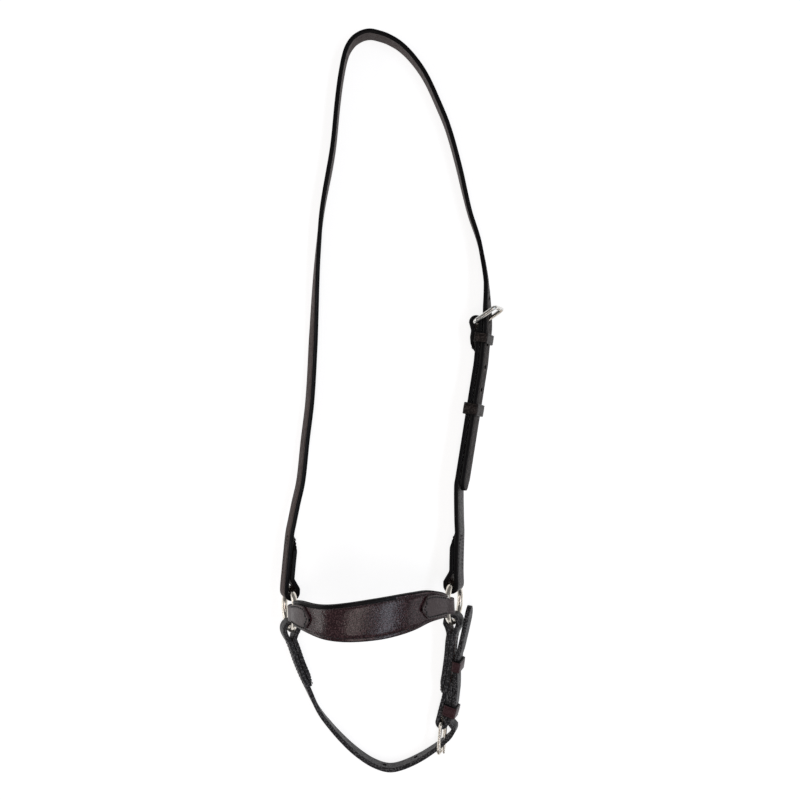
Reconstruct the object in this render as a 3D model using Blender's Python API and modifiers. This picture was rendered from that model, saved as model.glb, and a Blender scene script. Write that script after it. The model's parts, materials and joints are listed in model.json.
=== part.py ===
"""Drop noseband lying on a table, its straps on edge and its nosepiece arched up.

Metres, +Z up. +Y runs from the chin strap to the top of the headpiece, and the
origin is under the middle of the whole noseband. Every piece is placed from the
ring line, the straight line through the centres of the two rings.
"""
import math

import bmesh
import bpy
from mathutils import Matrix, Vector

# Driving sizes of the whole noseband
RING_SPREAD = 0.1389
RING_SKEW = 0.006
HEAD_REACH = 0.4887
CHIN_REACH = 0.1432
STRAP_LEAN = math.radians(23)

# Leather of the straps
STRAP_WIDTH = 0.016
CHIN_WIDTH = 0.012
STRAP_THICKNESS = 0.0038
STRAP_EDGE = 0.0005
STRAP_TIP = 0.011
SKIVE_LENGTH = 0.012
SKIVE_SHARE = 0.45
HOLE_RADIUS = 0.0019
HEAD_HOLE_PITCH = 0.0195
CHIN_HOLE_PITCH = 0.030
HEAD_RING_LAP = 0.048
CHEEK_RING_LAP = 0.044
CHEEK_BUCKLE_LAP = 0.025
CHIN_RING_LAP = 0.056
CHIN_PIECE_LAP = 0.461 * CHIN_REACH
CHIN_BUCKLE_LAP = 0.3003 * CHIN_REACH
HEAD_POINT_START = 0.010
HEAD_POINT_REACH = 0.1455
CHIN_POINT_START = 0.0008
CHIN_POINT_REACH = 0.412 * CHIN_REACH

# Nosepiece and its end tabs
NOSE_WIDTH = 0.0322
NOSE_FACE = 0.0024
NOSE_LINING = 0.0020
NOSE_LEFT_SLOPE = math.radians(75)
NOSE_RIGHT_SLOPE = math.radians(53)
NOSE_TILT = math.radians(1.2)
NOSE_EDGE = 0.0006
TAB_WIDTH = 0.0186
TAB_THICKNESS = 0.0022
TAB_LENGTH = 0.032
TAB_BACK_LENGTH = 0.021
TAB_EDGE = 0.0004

# Rings
RING_RADIUS = 0.017
RING_WIRE = 0.0025

# Buckles, each with a tongue on its bar
HEAD_BUCKLE_LENGTH = 0.0215
HEAD_BUCKLE_WIDTH = 0.0180
HEAD_BUCKLE_WIRE = 0.0019
HEAD_BUCKLE_TURN = math.radians(32.7)
CHIN_BUCKLE_LENGTH = 0.0260
CHIN_BUCKLE_WIDTH = 0.0140
CHIN_BUCKLE_WIRE = 0.0015
CHIN_BUCKLE_TURN = math.radians(-94.9)
BUCKLE_CORNER = 0.0030
TONGUE_WIRE = 0.0010
TONGUE_OVERHANG = 0.0022

# Keepers
KEEPER_WALL = 0.0017
KEEPER_TUCK = 0.0012
KEEPER_LEAD = 0.0015
FIXED_KEEPER_HEIGHT = 0.0085
FIXED_KEEPER_DROP = 0.0135
RUNNER_HEIGHT = 0.0100
RUNNER_DROP = 0.0745
CHIN_LOWER_KEEPER_HEIGHT = 0.0100
CHIN_LOWER_KEEPER_RISE = 0.0112
CHIN_UPPER_KEEPER_HEIGHT = 0.0100
CHIN_UPPER_KEEPER_RISE = 0.3596 * CHIN_REACH

# Clearances
SEAT = 0.0003
HEAD_RING_PLAY = 0.0005
CHIN_RING_PLAY = 0.0012
TAB_PLAY = 0.0016
POINT_PLAY = 0.0009
RUNNER_PLAY = 0.0005
HOLE_PLAY = 0.0008
CUT_OVERRUN = 0.002
PUNCH_REACH = 0.005

# Where the ring line lies, since the headpiece reaches further than the chin strap
RING_LINE_X = -0.122 * RING_SPREAD
RING_LINE_Y = -(HEAD_REACH - CHIN_REACH) / 2
RING_HEIGHT = RING_RADIUS * math.cos(STRAP_LEAN) + RING_WIRE

# Plan of the headpiece from the left ring over the top to the head buckle,
# across in shares of the ring spread and up in shares of the head reach
HEAD_LINE_SHARES = (
    (-0.5248, 0.0532), (-0.5133, 0.0900), (-0.5011, 0.1248), (-0.4888, 0.1432),
    (-0.4680, 0.1739), (-0.4377, 0.2149), (-0.4132, 0.2857), (-0.3852, 0.3560),
    (-0.3647, 0.4616), (-0.3470, 0.5674), (-0.3330, 0.6237), (-0.3096, 0.6906),
    (-0.2448, 0.7952), (-0.2138, 0.8797), (-0.1908, 0.9282), (-0.1609, 0.9664),
    (-0.1217, 0.9857), (-0.0695, 0.9963), (-0.0151, 1.0000), (0.0410, 0.9971),
    (0.1015, 0.9910), (0.1764, 0.9781), (0.2534, 0.9562), (0.3305, 0.9247),
    (0.4078, 0.8782), (0.4705, 0.8340), (0.5324, 0.7720), (0.6033, 0.6875),
    (0.6587, 0.6378), (0.6836, 0.6026), (0.7012, 0.5674), (0.7063, 0.5402),
    (0.7070, 0.5144), (0.7090, 0.4983), (0.7090, 0.4829),
)

# Plan of the cheek strap: its foot at the ring, the straight run of the runner, its neck
CHEEK_FOOT_SHARES = ((0.5306, 0.0593), (0.5328, 0.0941), (0.5364, 0.1269), (0.5335, 0.1535))
CHEEK_RUN_SHARES = ((0.5330, 0.2087), (0.6530, 0.4195))
CHEEK_NECK_SHARES = (0.6660, 0.4560)
HEAD_BAR_SHARES = (0.6548, 0.4911)
HEAD_BAR_HEADING = Vector((0, 1, 0))

# Plan of the chin strap from the left ring to the chin buckle, and of its free end
CHIN_LINE_SHARES = (
    (-0.4975, -0.2270), (-0.4560, -0.3534), (-0.3926, -0.5098), (-0.3308, -0.6425),
    (-0.2516, -0.7500), (-0.1587, -0.8520), (-0.0680, -0.9260), (0.0169, -0.9756),
    (0.1055, -1.0000), (0.1890, -0.9839),
)
CHIN_END_SHARES = ((0.5454, -0.2584), (0.5655, -0.1676), (0.5871, -0.0698), (0.5986, 0.0))
CHIN_PIECE_SHARES = ((0.5086, -0.1746), (0.4950, -0.3073), (0.4762, -0.4441))
CHIN_NECK_SHARES = (0.4525, -0.5622)
CHIN_BAR_SHARES = (0.4395, -0.7053)
CHIN_BAR_HEADING = Vector((-0.265, -0.964, 0)).normalized()
CHIN_LOW_SHARE = 0.1055

# Plan of the chin strap as it enters its buckle, from the bar in shares of the buckle's length
CHIN_ENTRY_SHARES = (
    (-0.7538, -1.2426), (-0.2928, -0.9199), (0.0224, -0.6582), (0.2773, -0.4037),
    (0.3766, -0.1470),
)

# Where the chin bar is and how long its buckle is, in shares of the chin reach
CHIN_BAR_SHARE = -CHIN_BAR_SHARES[1]
CHIN_BUCKLE_SHARE = CHIN_BUCKLE_LENGTH / CHIN_REACH

# Where along a straight run its inner knots lie, so that the run stays straight
RUN_KNOT_SHARES = (0.06, 0.94)

# How far the straps lean inward, as (share of the reach, share of the full lean)
LEFT_LEAN_SHARES = ((0.46, 1.0), (0.53, 0.78), (0.67, 0.22), (0.755, 0.0))
RIGHT_LEAN_SHARES = ((0.505, 1.0), (0.56, 0.42), (0.60, 0.38), (0.745, 0.0))
LEFT_CHIN_LEAN_SHARES = ((0.46, 1.0), (0.90, 0.0))
RIGHT_CHIN_LEAN_SHARES = (
    (0.12, 1.0), (0.64, 0.80), (CHIN_BAR_SHARE + 0.301 * CHIN_BUCKLE_SHARE, 0.76),
    (CHIN_BAR_SHARE + 1.348 * CHIN_BUCKLE_SHARE, 0.0),
)

# How far they stand off the table, as (share of the reach, share of the full climb)
LEFT_RISE_SHARES = ((0.05, 1.0), (0.14, 0.84), (0.30, 0.16), (0.40, 0.0))
RIGHT_RISE_SHARES = ((0.06, 1.0), (0.44, 0.0))
LEFT_CHIN_RISE_SHARES = ((0.20, 1.0), (0.84, 0.0))
RIGHT_CHIN_RISE_SHARES = ((0.16, 1.0), (0.55, 0.0))
HEAD_LIFT_SHARES = ((0.56, 1.0), (0.68, 0.0))
CHIN_LIFT_SHARES = (
    (CHIN_BAR_SHARE + 0.742 * CHIN_BUCKLE_SHARE, 1.0),
    (CHIN_BAR_SHARE + 1.623 * CHIN_BUCKLE_SHARE, 0.0),
)

# How a strap gets from the outer side of its ring or bar back to the usual height
LEFT_LIFT_SHARES = ((0.04, 1.0), (0.16, 0.0))
RIGHT_LIFT_SHARES = ((0.52, 1.0), (0.62, 0.0))
LEFT_CHIN_LIFT_SHARES = ((0.12, 1.0), (0.50, 0.0))
RIGHT_CHIN_LIFT_SHARES = (
    (CHIN_BAR_SHARE + 0.191 * CHIN_BUCKLE_SHARE, 0.85),
    (CHIN_BAR_SHARE + 0.687 * CHIN_BUCKLE_SHARE, 0.25),
    (CHIN_BAR_SHARE + 1.348 * CHIN_BUCKLE_SHARE, 0.0),
)

# Outline of the nosepiece, as (share of its length, share of its width): how wide it is, and
# how far its middle runs off the line between the rings
NOSE_WIDTH_SHARES = (
    (0.0, 0.64), (0.10, 0.71), (0.20, 0.77), (0.30, 0.86), (0.40, 0.94), (0.52, 0.995),
    (0.62, 1.0), (0.74, 0.94), (0.86, 0.79), (1.0, 0.60),
)
NOSE_SWEEP_SHARES = (
    (0.0, 0.0), (0.12, 0.04), (0.30, -0.035), (0.55, 0.005), (0.75, 0.085), (0.85, 0.13),
    (0.95, 0.075), (1.0, 0.0),
)

# Outline of a tab, as (share of its length, share of its half width)
TAB_OUTLINE_SHARES = (
    (0.0, 0.70), (0.55, 0.98), (0.78, 1.0), (0.83, 0.95), (0.87, 0.78), (0.92, 0.54),
    (0.97, 0.28), (1.0, 0.12),
)
TAB_ROW_SHARES = (1.0, 0.97, 0.92, 0.87, 0.83, 0.69, 0.55, 0.42, 0.30, 0.18)
TAB_BEND_SHARE = 0.08
STRAP_TIP_SHARE = 0.28
TONGUE_HOLE_SHARE = 1.5

# Curve quality
ROW_STEP = 0.013
ROW_TURN = math.radians(5)
SMOOTH_STEP = 0.0015
FOLD_STEPS = 10
NOSE_ROWS = 36
RING_STEPS = 44
CORNER_STEPS = 5
LOOP_STEPS = 10
WIRE_STEPS = 3
TONGUE_STEPS = 2


# Lines of the straps: X and Y are a place in the plan, Z is a lift above its usual height


def plan(shares, lift=0):
    """Place from shares of the ring spread and of the reach above or below the ring line."""
    across, up = shares
    reach = HEAD_REACH if up > 0 else CHIN_REACH
    return Vector((across * RING_SPREAD, up * reach, lift))


def share_at(table, place):
    """Value at a place in a table of (place, value) pairs."""
    if place <= table[0][0]:
        return table[0][1]
    for (start, before), (end, after) in zip(table, table[1:]):
        if place <= end:
            return before + (after - before) * (place - start) / (end - start)
    return table[-1][1]


def smooth_at(table, place):
    """Value at a place on the smooth curve through a table of (place, value) pairs."""
    knots = [Vector(pair) for pair in table]
    index = sum(1 for knot in knots[1:-1] if knot.x < place)
    start, end = knots[index], knots[index + 1]
    before, after = knots[max(index - 1, 0)], knots[min(index + 2, len(knots) - 1)]
    span = end.x - start.x
    t = min(max((place - start.x) / span, 0), 1)
    first = span * (end.y - before.y) / (end.x - before.x)
    last = span * (after.y - start.y) / (after.x - start.x)
    value = (2 * t**3 - 3 * t**2 + 1) * start.y + (3 * t**2 - 2 * t**3) * end.y
    return value + (t**3 - 2 * t**2 + t) * first + (t**3 - t**2) * last


def heading_at(line, index):
    """Heading of a line at one of its points."""
    before = line[max(index - 1, 0)]
    after = line[min(index + 1, len(line) - 1)]
    return (after - before).normalized()


def lengths_along(line):
    """Distance from the start of a line to each of its points."""
    distances = [0]
    for start, end in zip(line, line[1:]):
        distances.append(distances[-1] + (end - start).length)
    return distances


def smooth_line(knots, first=None, last=None):
    """Close points on a smooth curve through the knots, with its end headings if given."""
    headings = [heading_at(knots, index) for index in range(len(knots))]
    if first is not None:
        headings[0] = first
    if last is not None:
        headings[-1] = last
    line = []
    for index in range(len(knots) - 1):
        start, end = knots[index], knots[index + 1]
        span = (end - start).length
        count = max(1, math.ceil(span / SMOOTH_STEP))
        for step in range(count):
            t = step / count
            point = (2 * t**3 - 3 * t**2 + 1) * start + (3 * t**2 - 2 * t**3) * end
            point += (t**3 - 2 * t**2 + t) * span * headings[index]
            point += (t**3 - t**2) * span * headings[index + 1]
            line.append(point)
    line.append(knots[-1].copy())
    return line


def along(line, distance):
    """Place and heading at a distance along a line."""
    distances = lengths_along(line)
    index = min(sum(1 for passed in distances if passed < distance), len(line) - 1)
    start = max(index - 1, 0)
    heading = heading_at(line, index)
    return line[start] + (distance - distances[start]) * heading, heading


def thinned(line, tail):
    """Only the points a strap needs: at each turn, at each step, and all of them in its tail."""
    distances = lengths_along(line)
    kept = [0]
    for index in range(1, len(line) - 1):
        heading_in = line[kept[-1] + 1] - line[kept[-1]]
        heading_out = line[index + 1] - line[index]
        turned = heading_in.angle(heading_out, 0) >= ROW_TURN
        stepped = distances[index] - distances[kept[-1]] >= ROW_STEP
        if turned or stepped or distances[-1] - distances[index] <= tail:
            kept.append(index)
    kept.append(len(line) - 1)
    return [line[index] for index in kept]


# How the straps stand


def lean_side(place):
    """+1 where a strap's top leans to the right, -1 where it leans to the left."""
    middle = CHIN_LOW_SHARE * RING_SPREAD if place.y <= 0 else 0
    return -1 if place.x > middle else 1


def lean_at(place):
    """Angle at which a strap leans, towards the middle of the noseband."""
    on_left = lean_side(place) > 0
    if place.y > 0:
        table = LEFT_LEAN_SHARES if on_left else RIGHT_LEAN_SHARES
        return STRAP_LEAN * share_at(table, place.y / HEAD_REACH)
    table = LEFT_CHIN_LEAN_SHARES if on_left else RIGHT_CHIN_LEAN_SHARES
    return STRAP_LEAN * share_at(table, -place.y / CHIN_REACH)


def across_at(place):
    """Direction across a strap, from its lower edge to its upper edge."""
    lean = lean_at(place)
    return Vector((lean_side(place) * math.sin(lean), 0, math.cos(lean)))


def resting_height(width, thickness, lean):
    """Height of the middle of a leaning band whose lower edge lies on the table."""
    return width / 2 * math.cos(lean) + thickness / 2 * math.sin(lean)


def bar_height(place, width, wire, droop):
    """Height of the middle of a buckle's bar where the buckle's lower side lies on the table."""
    lean = lean_at(place)
    return (width / 2 + wire) * math.cos(lean) + wire + droop * math.sin(lean)


def middle_height(place, width):
    """Height of the middle of a strap, which climbs from the table to rings and buckles."""
    flat = resting_height(width, STRAP_THICKNESS, lean_at(place))
    ring_climb = RING_HEIGHT - resting_height(width, STRAP_THICKNESS, STRAP_LEAN)
    if place.y > 0:
        share = place.y / HEAD_REACH
        left_rise, rise, lift_table = LEFT_RISE_SHARES, RIGHT_RISE_SHARES, HEAD_LIFT_SHARES
        bar = plan(HEAD_BAR_SHARES)
        bar_z = bar_height(bar, HEAD_BUCKLE_WIDTH, HEAD_BUCKLE_WIRE, 0)
    else:
        share = -place.y / CHIN_REACH
        left_rise, rise = LEFT_CHIN_RISE_SHARES, RIGHT_CHIN_RISE_SHARES
        lift_table = CHIN_LIFT_SHARES
        bar = plan(CHIN_BAR_SHARES)
        droop = -CHIN_BUCKLE_LENGTH * math.cos(CHIN_BUCKLE_TURN)
        bar_z = bar_height(bar, CHIN_BUCKLE_WIDTH, CHIN_BUCKLE_WIRE, droop)
    if lean_side(place) > 0:
        return flat + ring_climb * share_at(left_rise, share)
    near_ring = share_at(rise, share)
    climb = bar_z - resting_height(width, STRAP_THICKNESS, lean_at(bar))
    raised = climb * share_at(lift_table, share) * (1 - near_ring)
    return flat + ring_climb * near_ring + raised


def standing_point(place, offset, width):
    """Point of a strap: offset runs across it, from minus half its width at the lower edge."""
    middle = Vector((place.x, place.y, middle_height(place, width) + place.z))
    return middle + offset * across_at(place)


def strap_axes(place, heading, width):
    """Frame on a strap: X out of its left face, Y across it, Z along it."""
    step = heading * SMOOTH_STEP
    forward = standing_point(place + step, 0, width) - standing_point(place - step, 0, width)
    forward.normalize()
    across = across_at(place)
    across = (across - across.dot(forward) * forward).normalized()
    frame = Matrix((across.cross(forward), across, forward)).transposed().to_4x4()
    frame.translation = standing_point(place, 0, width)
    return frame


def left_face(place, heading):
    """Unit vector square out of the left face of a strap."""
    return across_at(place).cross(Vector((heading.x, heading.y, 0))).normalized()


def beside(line, spacings, side, start=0, easing=0):
    """Line beside another one: side is +1 for its left, spacings lists (distance, spacing).

    Over the length of the easing it keeps square to the first heading of the other line.
    """
    result = []
    first = heading_at(line, 0)
    for index, distance in enumerate(lengths_along(line)):
        if start <= distance <= spacings[-1][0]:
            eased = min(1, distance / easing) if easing else 1
            heading = first.lerp(heading_at(line, index), eased)
            spacing = side * share_at(spacings, distance)
            result.append(line[index] + spacing * left_face(line[index], heading))
    return result


def lap_back(main, spacings, side):
    """End of a strap that folds round a wire at the start of its main line, and laps back."""
    lap = beside(main, spacings, side, 0, spacings[2][0])
    middle = (main[0] + lap[0]) / 2
    arm = (main[0] - lap[0]) / 2
    depth = (main[0] - main[1]).normalized() * spacings[0][1] / 2
    fold = []
    for step in range(1, FOLD_STEPS):
        angle = math.pi * step / FOLD_STEPS
        fold.append(middle + math.cos(angle) * arm + math.sin(angle) * depth)
    return fold + lap


def ring_start(side, up, width):
    """Where a strap's main line leaves its fold at a ring, on the outer side of the ring."""
    bore = RING_RADIUS - RING_WIRE - SEAT
    play, fold = HEAD_RING_PLAY, HEAD_RING_FOLD
    if up < 0:
        play, fold = CHIN_RING_PLAY, CHIN_RING_FOLD
    reach = math.sqrt(bore**2 - (width / 2) ** 2) + RING_WIRE + play
    centre = Vector((side * RING_SPREAD / 2, side * RING_SKEW / 2, 0))
    out = Vector((side * math.cos(STRAP_LEAN), 0, math.sin(STRAP_LEAN)))
    return centre + Vector((0, up * reach, 0)) + fold / 2 * out


def ring_spacings(length, fold):
    """Spacing of the two layers of a strap from its fold at a ring to its skived end."""
    return (
        (0, fold), (FOLD_OPEN, fold), (FOLD_CLOSED, LAYER),
        (length - SKIVE_LENGTH, LAYER), (length, SKIVED_LAYER),
    )


def straight_run(start, end):
    """Knots that keep a line straight from one place to another."""
    return [start] + [start.lerp(end, share) for share in RUN_KNOT_SHARES] + [end]


# Building blocks


def add_object(name, data, kit, surface=None):
    """Link an object that stands in the ring line's frame."""
    thing = bpy.data.objects.new(name, data)
    collection = kit["pieces"] if surface else kit["cutters"]
    collection.objects.link(thing)
    thing.parent = kit["root"]
    if surface:
        data.materials.append(kit[surface])
    return thing


def add_pivot(name, matrix, kit):
    """Empty that a group of pieces turns with."""
    pivot = bpy.data.objects.new(name, None)
    pivot.empty_display_size = RING_RADIUS
    kit["pieces"].objects.link(pivot)
    pivot.parent = kit["root"]
    pivot.matrix_basis = matrix
    return pivot


def hang_from(things, pivot):
    """Let pieces turn with a pivot and stay where they are."""
    for thing in things:
        thing.parent = pivot
        thing.matrix_parent_inverse = pivot.matrix_basis.inverted()


def bent_sheet(name, rows, placed, kit, surface):
    """Open sheet one face wide: placed(row, side) gives the points of each row."""
    mesh = bpy.data.meshes.new(name)
    sheet = bmesh.new()
    bmesh.ops.create_grid(sheet, x_segments=rows, y_segments=1, size=1)
    row_of = {}
    for vertex in sheet.verts:
        row_of[vertex.index] = round((vertex.co.x + 1) / 2 * rows)
        vertex.co = placed(row_of[vertex.index], round(vertex.co.y))
    sheet.to_mesh(mesh)
    sheet.free()
    mesh.shade_smooth()
    return add_object(name, mesh, kit, surface), row_of


def thicken(thing, thickness, edge):
    """Give an open sheet its thickness and take off its sharp edges."""
    solid = thing.modifiers.new("thickness", "SOLIDIFY")
    solid.thickness = thickness
    solid.offset = 0
    solid.use_even_offset = True
    rounding = thing.modifiers.new("edges", "BEVEL")
    rounding.width = edge
    rounding.segments = 1
    rounding.limit_method = "ANGLE"
    rounding.angle_limit = math.radians(50)
    rounding.harden_normals = True
    return solid


def skive(thing, solid, row_of, weights):
    """Thin a strap towards its lapped ends."""
    group = thing.vertex_groups.new(name="skive")
    for index, row in row_of.items():
        group.add([index], weights[row], "REPLACE")
    solid.vertex_group = group.name
    solid.thickness_vertex_group = SKIVE_SHARE


def strap(name, line, width, kit, tip=0, skived=(False, False)):
    """Leather strap on edge along a line, with a rounded tip or skived ends."""
    points = thinned(line, max(tip, SKIVE_LENGTH / 2))
    distances = lengths_along(points)
    total = distances[-1]

    def placed(row, side):
        half = width / 2
        left = total - distances[row]
        if left < tip:
            half *= max(STRAP_TIP_SHARE, math.sqrt(1 - (1 - left / tip) ** 2))
        return standing_point(points[row], side * half, width)

    thing, row_of = bent_sheet(name, len(points) - 1, placed, kit, "leather")
    solid = thicken(thing, STRAP_THICKNESS, STRAP_EDGE)
    if any(skived):
        weights = []
        for distance in distances:
            from_first = distance if skived[0] else SKIVE_LENGTH
            from_last = total - distance if skived[1] else SKIVE_LENGTH
            weights.append(min(1, from_first / SKIVE_LENGTH, from_last / SKIVE_LENGTH))
        skive(thing, solid, row_of, weights)
    return thing


def cutter(name, shape, frame, kit):
    """Link a cutting shape, which isn't part of the noseband."""
    mesh = bpy.data.meshes.new(name)
    shape.to_mesh(mesh)
    shape.free()
    thing = add_object(name, mesh, kit)
    thing.matrix_basis = frame
    thing.hide_render = True
    thing.display_type = "WIRE"
    return thing


def cut(thing, tool):
    """Cut a shape out of a piece."""
    opening = thing.modifiers.new(tool.name, "BOOLEAN")
    opening.operation = "DIFFERENCE"
    opening.solver = "EXACT"
    opening.object = tool


def punch(thing, number, frame, stretch, kit):
    """Punch one hole along X, longer along Z when it is stretched."""
    shape = bmesh.new()
    length = STRAP_THICKNESS + 2 * PUNCH_REACH
    bmesh.ops.create_cone(
        shape, cap_ends=True, segments=14, radius1=HOLE_RADIUS, radius2=HOLE_RADIUS, depth=length)
    bmesh.ops.transform(shape, matrix=Matrix.Rotation(math.pi / 2, 4, "Y"), verts=shape.verts)
    bmesh.ops.scale(shape, vec=(1, 1, stretch), verts=shape.verts)
    cut(thing, cutter(f"{thing.name}_punch_{number}", shape, frame, kit))


def punch_row(thing, line, width, crossing, pitch, steps, kit):
    """Punch a row of holes; the one at step zero follows the tongue that goes through it."""
    first, tongue_frame = crossing
    for number, step in enumerate(steps, start=1):
        if step:
            place, heading = along(line, first + step * pitch)
            punch(thing, number, strap_axes(place, heading, width), 1, kit)
        else:
            punch(thing, number, tongue_frame, TONGUE_HOLE_SHARE, kit)


def cut_slot(thing, frame, fold, kit):
    """Cut the slot that lets a tongue through the fold round its bar."""
    reach = fold + STRAP_THICKNESS + CUT_OVERRUN
    shape = bmesh.new()
    bmesh.ops.create_cube(shape, size=1)
    size = (reach, 2 * (TONGUE_WIRE + HOLE_PLAY), reach)
    bmesh.ops.scale(shape, vec=size, verts=shape.verts)
    cut(thing, cutter(f"{thing.name}_slot", shape, frame, kit))


def outline_curve(name, kit, surface):
    """Empty curve for a wire or a keeper."""
    data = bpy.data.curves.new(name, "CURVE")
    return data, add_object(name, data, kit, surface)


def add_outline(data, points, closed):
    """Add one run of points to a curve."""
    spline = data.splines.new("POLY")
    spline.points.add(len(points) - 1)
    for point, place in zip(spline.points, points):
        point.co = (*place, 1)
    spline.use_cyclic_u = closed


def wire_object(name, points, wire, closed, smoothness, matrix, kit):
    """Round metal wire along points."""
    data, thing = outline_curve(name, kit, "metal")
    data.dimensions = "3D"
    data.bevel_depth = wire
    data.bevel_resolution = smoothness
    data.use_fill_caps = not closed
    add_outline(data, points, closed)
    thing.matrix_basis = matrix
    return thing


def rounded_rectangle(length, width, corner, steps):
    """Points of a rectangle with round corners, centred on zero."""
    points = []
    for quarter, (x, y) in enumerate(((1, 1), (-1, 1), (-1, -1), (1, -1))):
        centre = Vector((x * (length / 2 - corner), y * (width / 2 - corner), 0))
        for step in range(steps + 1):
            angle = math.pi / 2 * (quarter + step / steps)
            points.append(centre + corner * Vector((math.cos(angle), math.sin(angle), 0)))
    return points


def keeper(name, frame, inner, outer, width, walls, height, kit):
    """Leather band round the layers of a strap that lie from inner to outer out of its face."""
    tuck, play = walls
    middle = Vector(((inner + outer) / 2, 0, 0))
    bore = rounded_rectangle(outer - inner, width + 2 * play, KEEPER_TUCK / 2, 2)
    length = outer - inner + tuck + KEEPER_WALL
    shift = Vector(((KEEPER_WALL - tuck) / 2, 0, 0))
    rim = rounded_rectangle(length, width + 2 * (play + KEEPER_WALL), KEEPER_WALL, 3)
    data, thing = outline_curve(name, kit, "keeper")
    data.dimensions = "2D"
    data.fill_mode = "BOTH"
    data.extrude = height / 2
    add_outline(data, [point + middle + shift for point in rim], True)
    add_outline(data, [point + middle for point in bore], True)
    thing.matrix_basis = frame
    return thing


def bar_axes(place, width, turn, up):
    """Frame on a buckle's bar: X towards its front bar, Y along the bar, Z out of its face."""
    across = across_at(place)
    ahead = Vector((0, 1, 0))
    out = ahead.cross(across)
    towards = math.cos(turn) * out + math.sin(turn) * ahead
    bar = up * across
    frame = Matrix((towards, bar, towards.cross(bar))).transposed().to_4x4()
    frame.translation = standing_point(place, 0, width)
    return frame


def buckle(name, frame, length, width, wire, kit):
    """Wire buckle, its bar through the frame's origin."""
    outline = rounded_rectangle(length, width + 2 * wire, BUCKLE_CORNER, CORNER_STEPS)
    points = [point + Vector((length / 2, 0, 0)) for point in outline]
    return wire_object(name, points, wire, True, TONGUE_STEPS, frame, kit)


def tongue(name, frame, length, wire, kit):
    """Tongue: a loop round the bar and a shank that rests on the front bar."""
    rest = wire + SEAT + TONGUE_WIRE
    points = []
    for step in range(LOOP_STEPS + 1):
        angle = math.radians(-30) - math.radians(240) * step / LOOP_STEPS
        points.append(rest * Vector((math.cos(angle), 0, math.sin(angle))))
    points.append(Vector((length / 2, 0, rest)))
    points.append(Vector((length + TONGUE_OVERHANG / 2, 0, rest)))
    points.append(Vector((length + TONGUE_OVERHANG, 0, rest - SEAT)))
    return wire_object(name, points, TONGUE_WIRE, False, TONGUE_STEPS, frame, kit)


def tongue_crossing(line, width, frame, length, wire):
    """Distance along a strap at which the tongue goes through it, and a frame on the tongue."""
    rest = wire + SEAT + TONGUE_WIRE
    inverse = frame.inverted()
    best = (length, 0, 0)
    for place, distance in zip(line, lengths_along(line)):
        point = inverse @ standing_point(place, 0, width)
        if 0 < point.x < length:
            best = min(best, (math.hypot(point.y, point.z - rest), distance, point.x))
    return best[1], frame @ Matrix.Translation((best[2], 0, rest))


# Sizes that several pieces share

LAYER = STRAP_THICKNESS + SEAT
SKIVED_LAYER = STRAP_THICKNESS * (1 + SKIVE_SHARE) / 2 + SEAT
TUCKED_LAYER = LAYER + KEEPER_TUCK + SEAT
POINT_LAYER = STRAP_THICKNESS + POINT_PLAY
HEAD_RING_FOLD = 2 * (RING_WIRE + HEAD_RING_PLAY) + STRAP_THICKNESS
CHIN_RING_FOLD = 2 * (RING_WIRE + CHIN_RING_PLAY) + STRAP_THICKNESS
FOLD_OPEN = 1.2 * RING_WIRE
FOLD_CLOSED = FOLD_OPEN + 3.56 * RING_WIRE
HEAD_FOLD = 2 * (HEAD_BUCKLE_WIRE + SEAT) + STRAP_THICKNESS
CHIN_FOLD = 2 * (CHIN_BUCKLE_WIRE + SEAT) + STRAP_THICKNESS
SANDWICH = NOSE_FACE + SEAT + NOSE_LINING
NOSE_SPAN = math.hypot(RING_SPREAD, RING_SKEW) - 2 * RING_RADIUS * math.sin(STRAP_LEAN)
NOSE_RISE = NOSE_SPAN / (1 / math.tan(NOSE_LEFT_SLOPE / 2) + 1 / math.tan(NOSE_RIGHT_SLOPE / 2))
NOSE_LEFT_RADIUS = NOSE_RISE / (1 - math.cos(NOSE_LEFT_SLOPE))
NOSE_RIGHT_RADIUS = NOSE_RISE / (1 - math.cos(NOSE_RIGHT_SLOPE))
NOSE_CREST = NOSE_LEFT_RADIUS * NOSE_LEFT_SLOPE
NOSE_LENGTH = NOSE_CREST + NOSE_RIGHT_RADIUS * NOSE_RIGHT_SLOPE


# Nosepiece


def nose_frame():
    """Frame on the ring line: X to the right ring, Z up through the nosepiece."""
    skew = Matrix.Rotation(math.atan2(RING_SKEW, RING_SPREAD), 4, "Z")
    return Matrix.Translation((0, 0, RING_HEIGHT)) @ skew


def nose_point(distance, out, across):
    """Point by its distance along the nosepiece, its height out of it and its place across.

    The nosepiece arches in two arcs that meet at its crest, the steeper one on the left.
    """
    side, slope, radius = 1, NOSE_RIGHT_SLOPE, NOSE_RIGHT_RADIUS
    if distance < NOSE_CREST:
        side, slope, radius = -1, NOSE_LEFT_SLOPE, NOSE_LEFT_RADIUS
    beyond = max(-distance, distance - NOSE_LENGTH, 0)
    angle = min(abs(distance - NOSE_CREST) / radius, slope)
    crest_x = NOSE_LEFT_RADIUS * math.sin(NOSE_LEFT_SLOPE) - NOSE_SPAN / 2
    crest_z = RING_RADIUS * math.cos(STRAP_LEAN) + NOSE_RISE
    x = crest_x + side * ((radius + out) * math.sin(angle) + beyond * math.cos(slope))
    z = crest_z - radius + (radius + out) * math.cos(angle) - beyond * math.sin(slope)
    y = across + NOSE_WIDTH * smooth_at(NOSE_SWEEP_SHARES, distance / NOSE_LENGTH)
    tilt = Matrix.Rotation(-NOSE_TILT, 4, "X")
    return nose_frame() @ tilt @ Vector((x, y, z))


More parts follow.
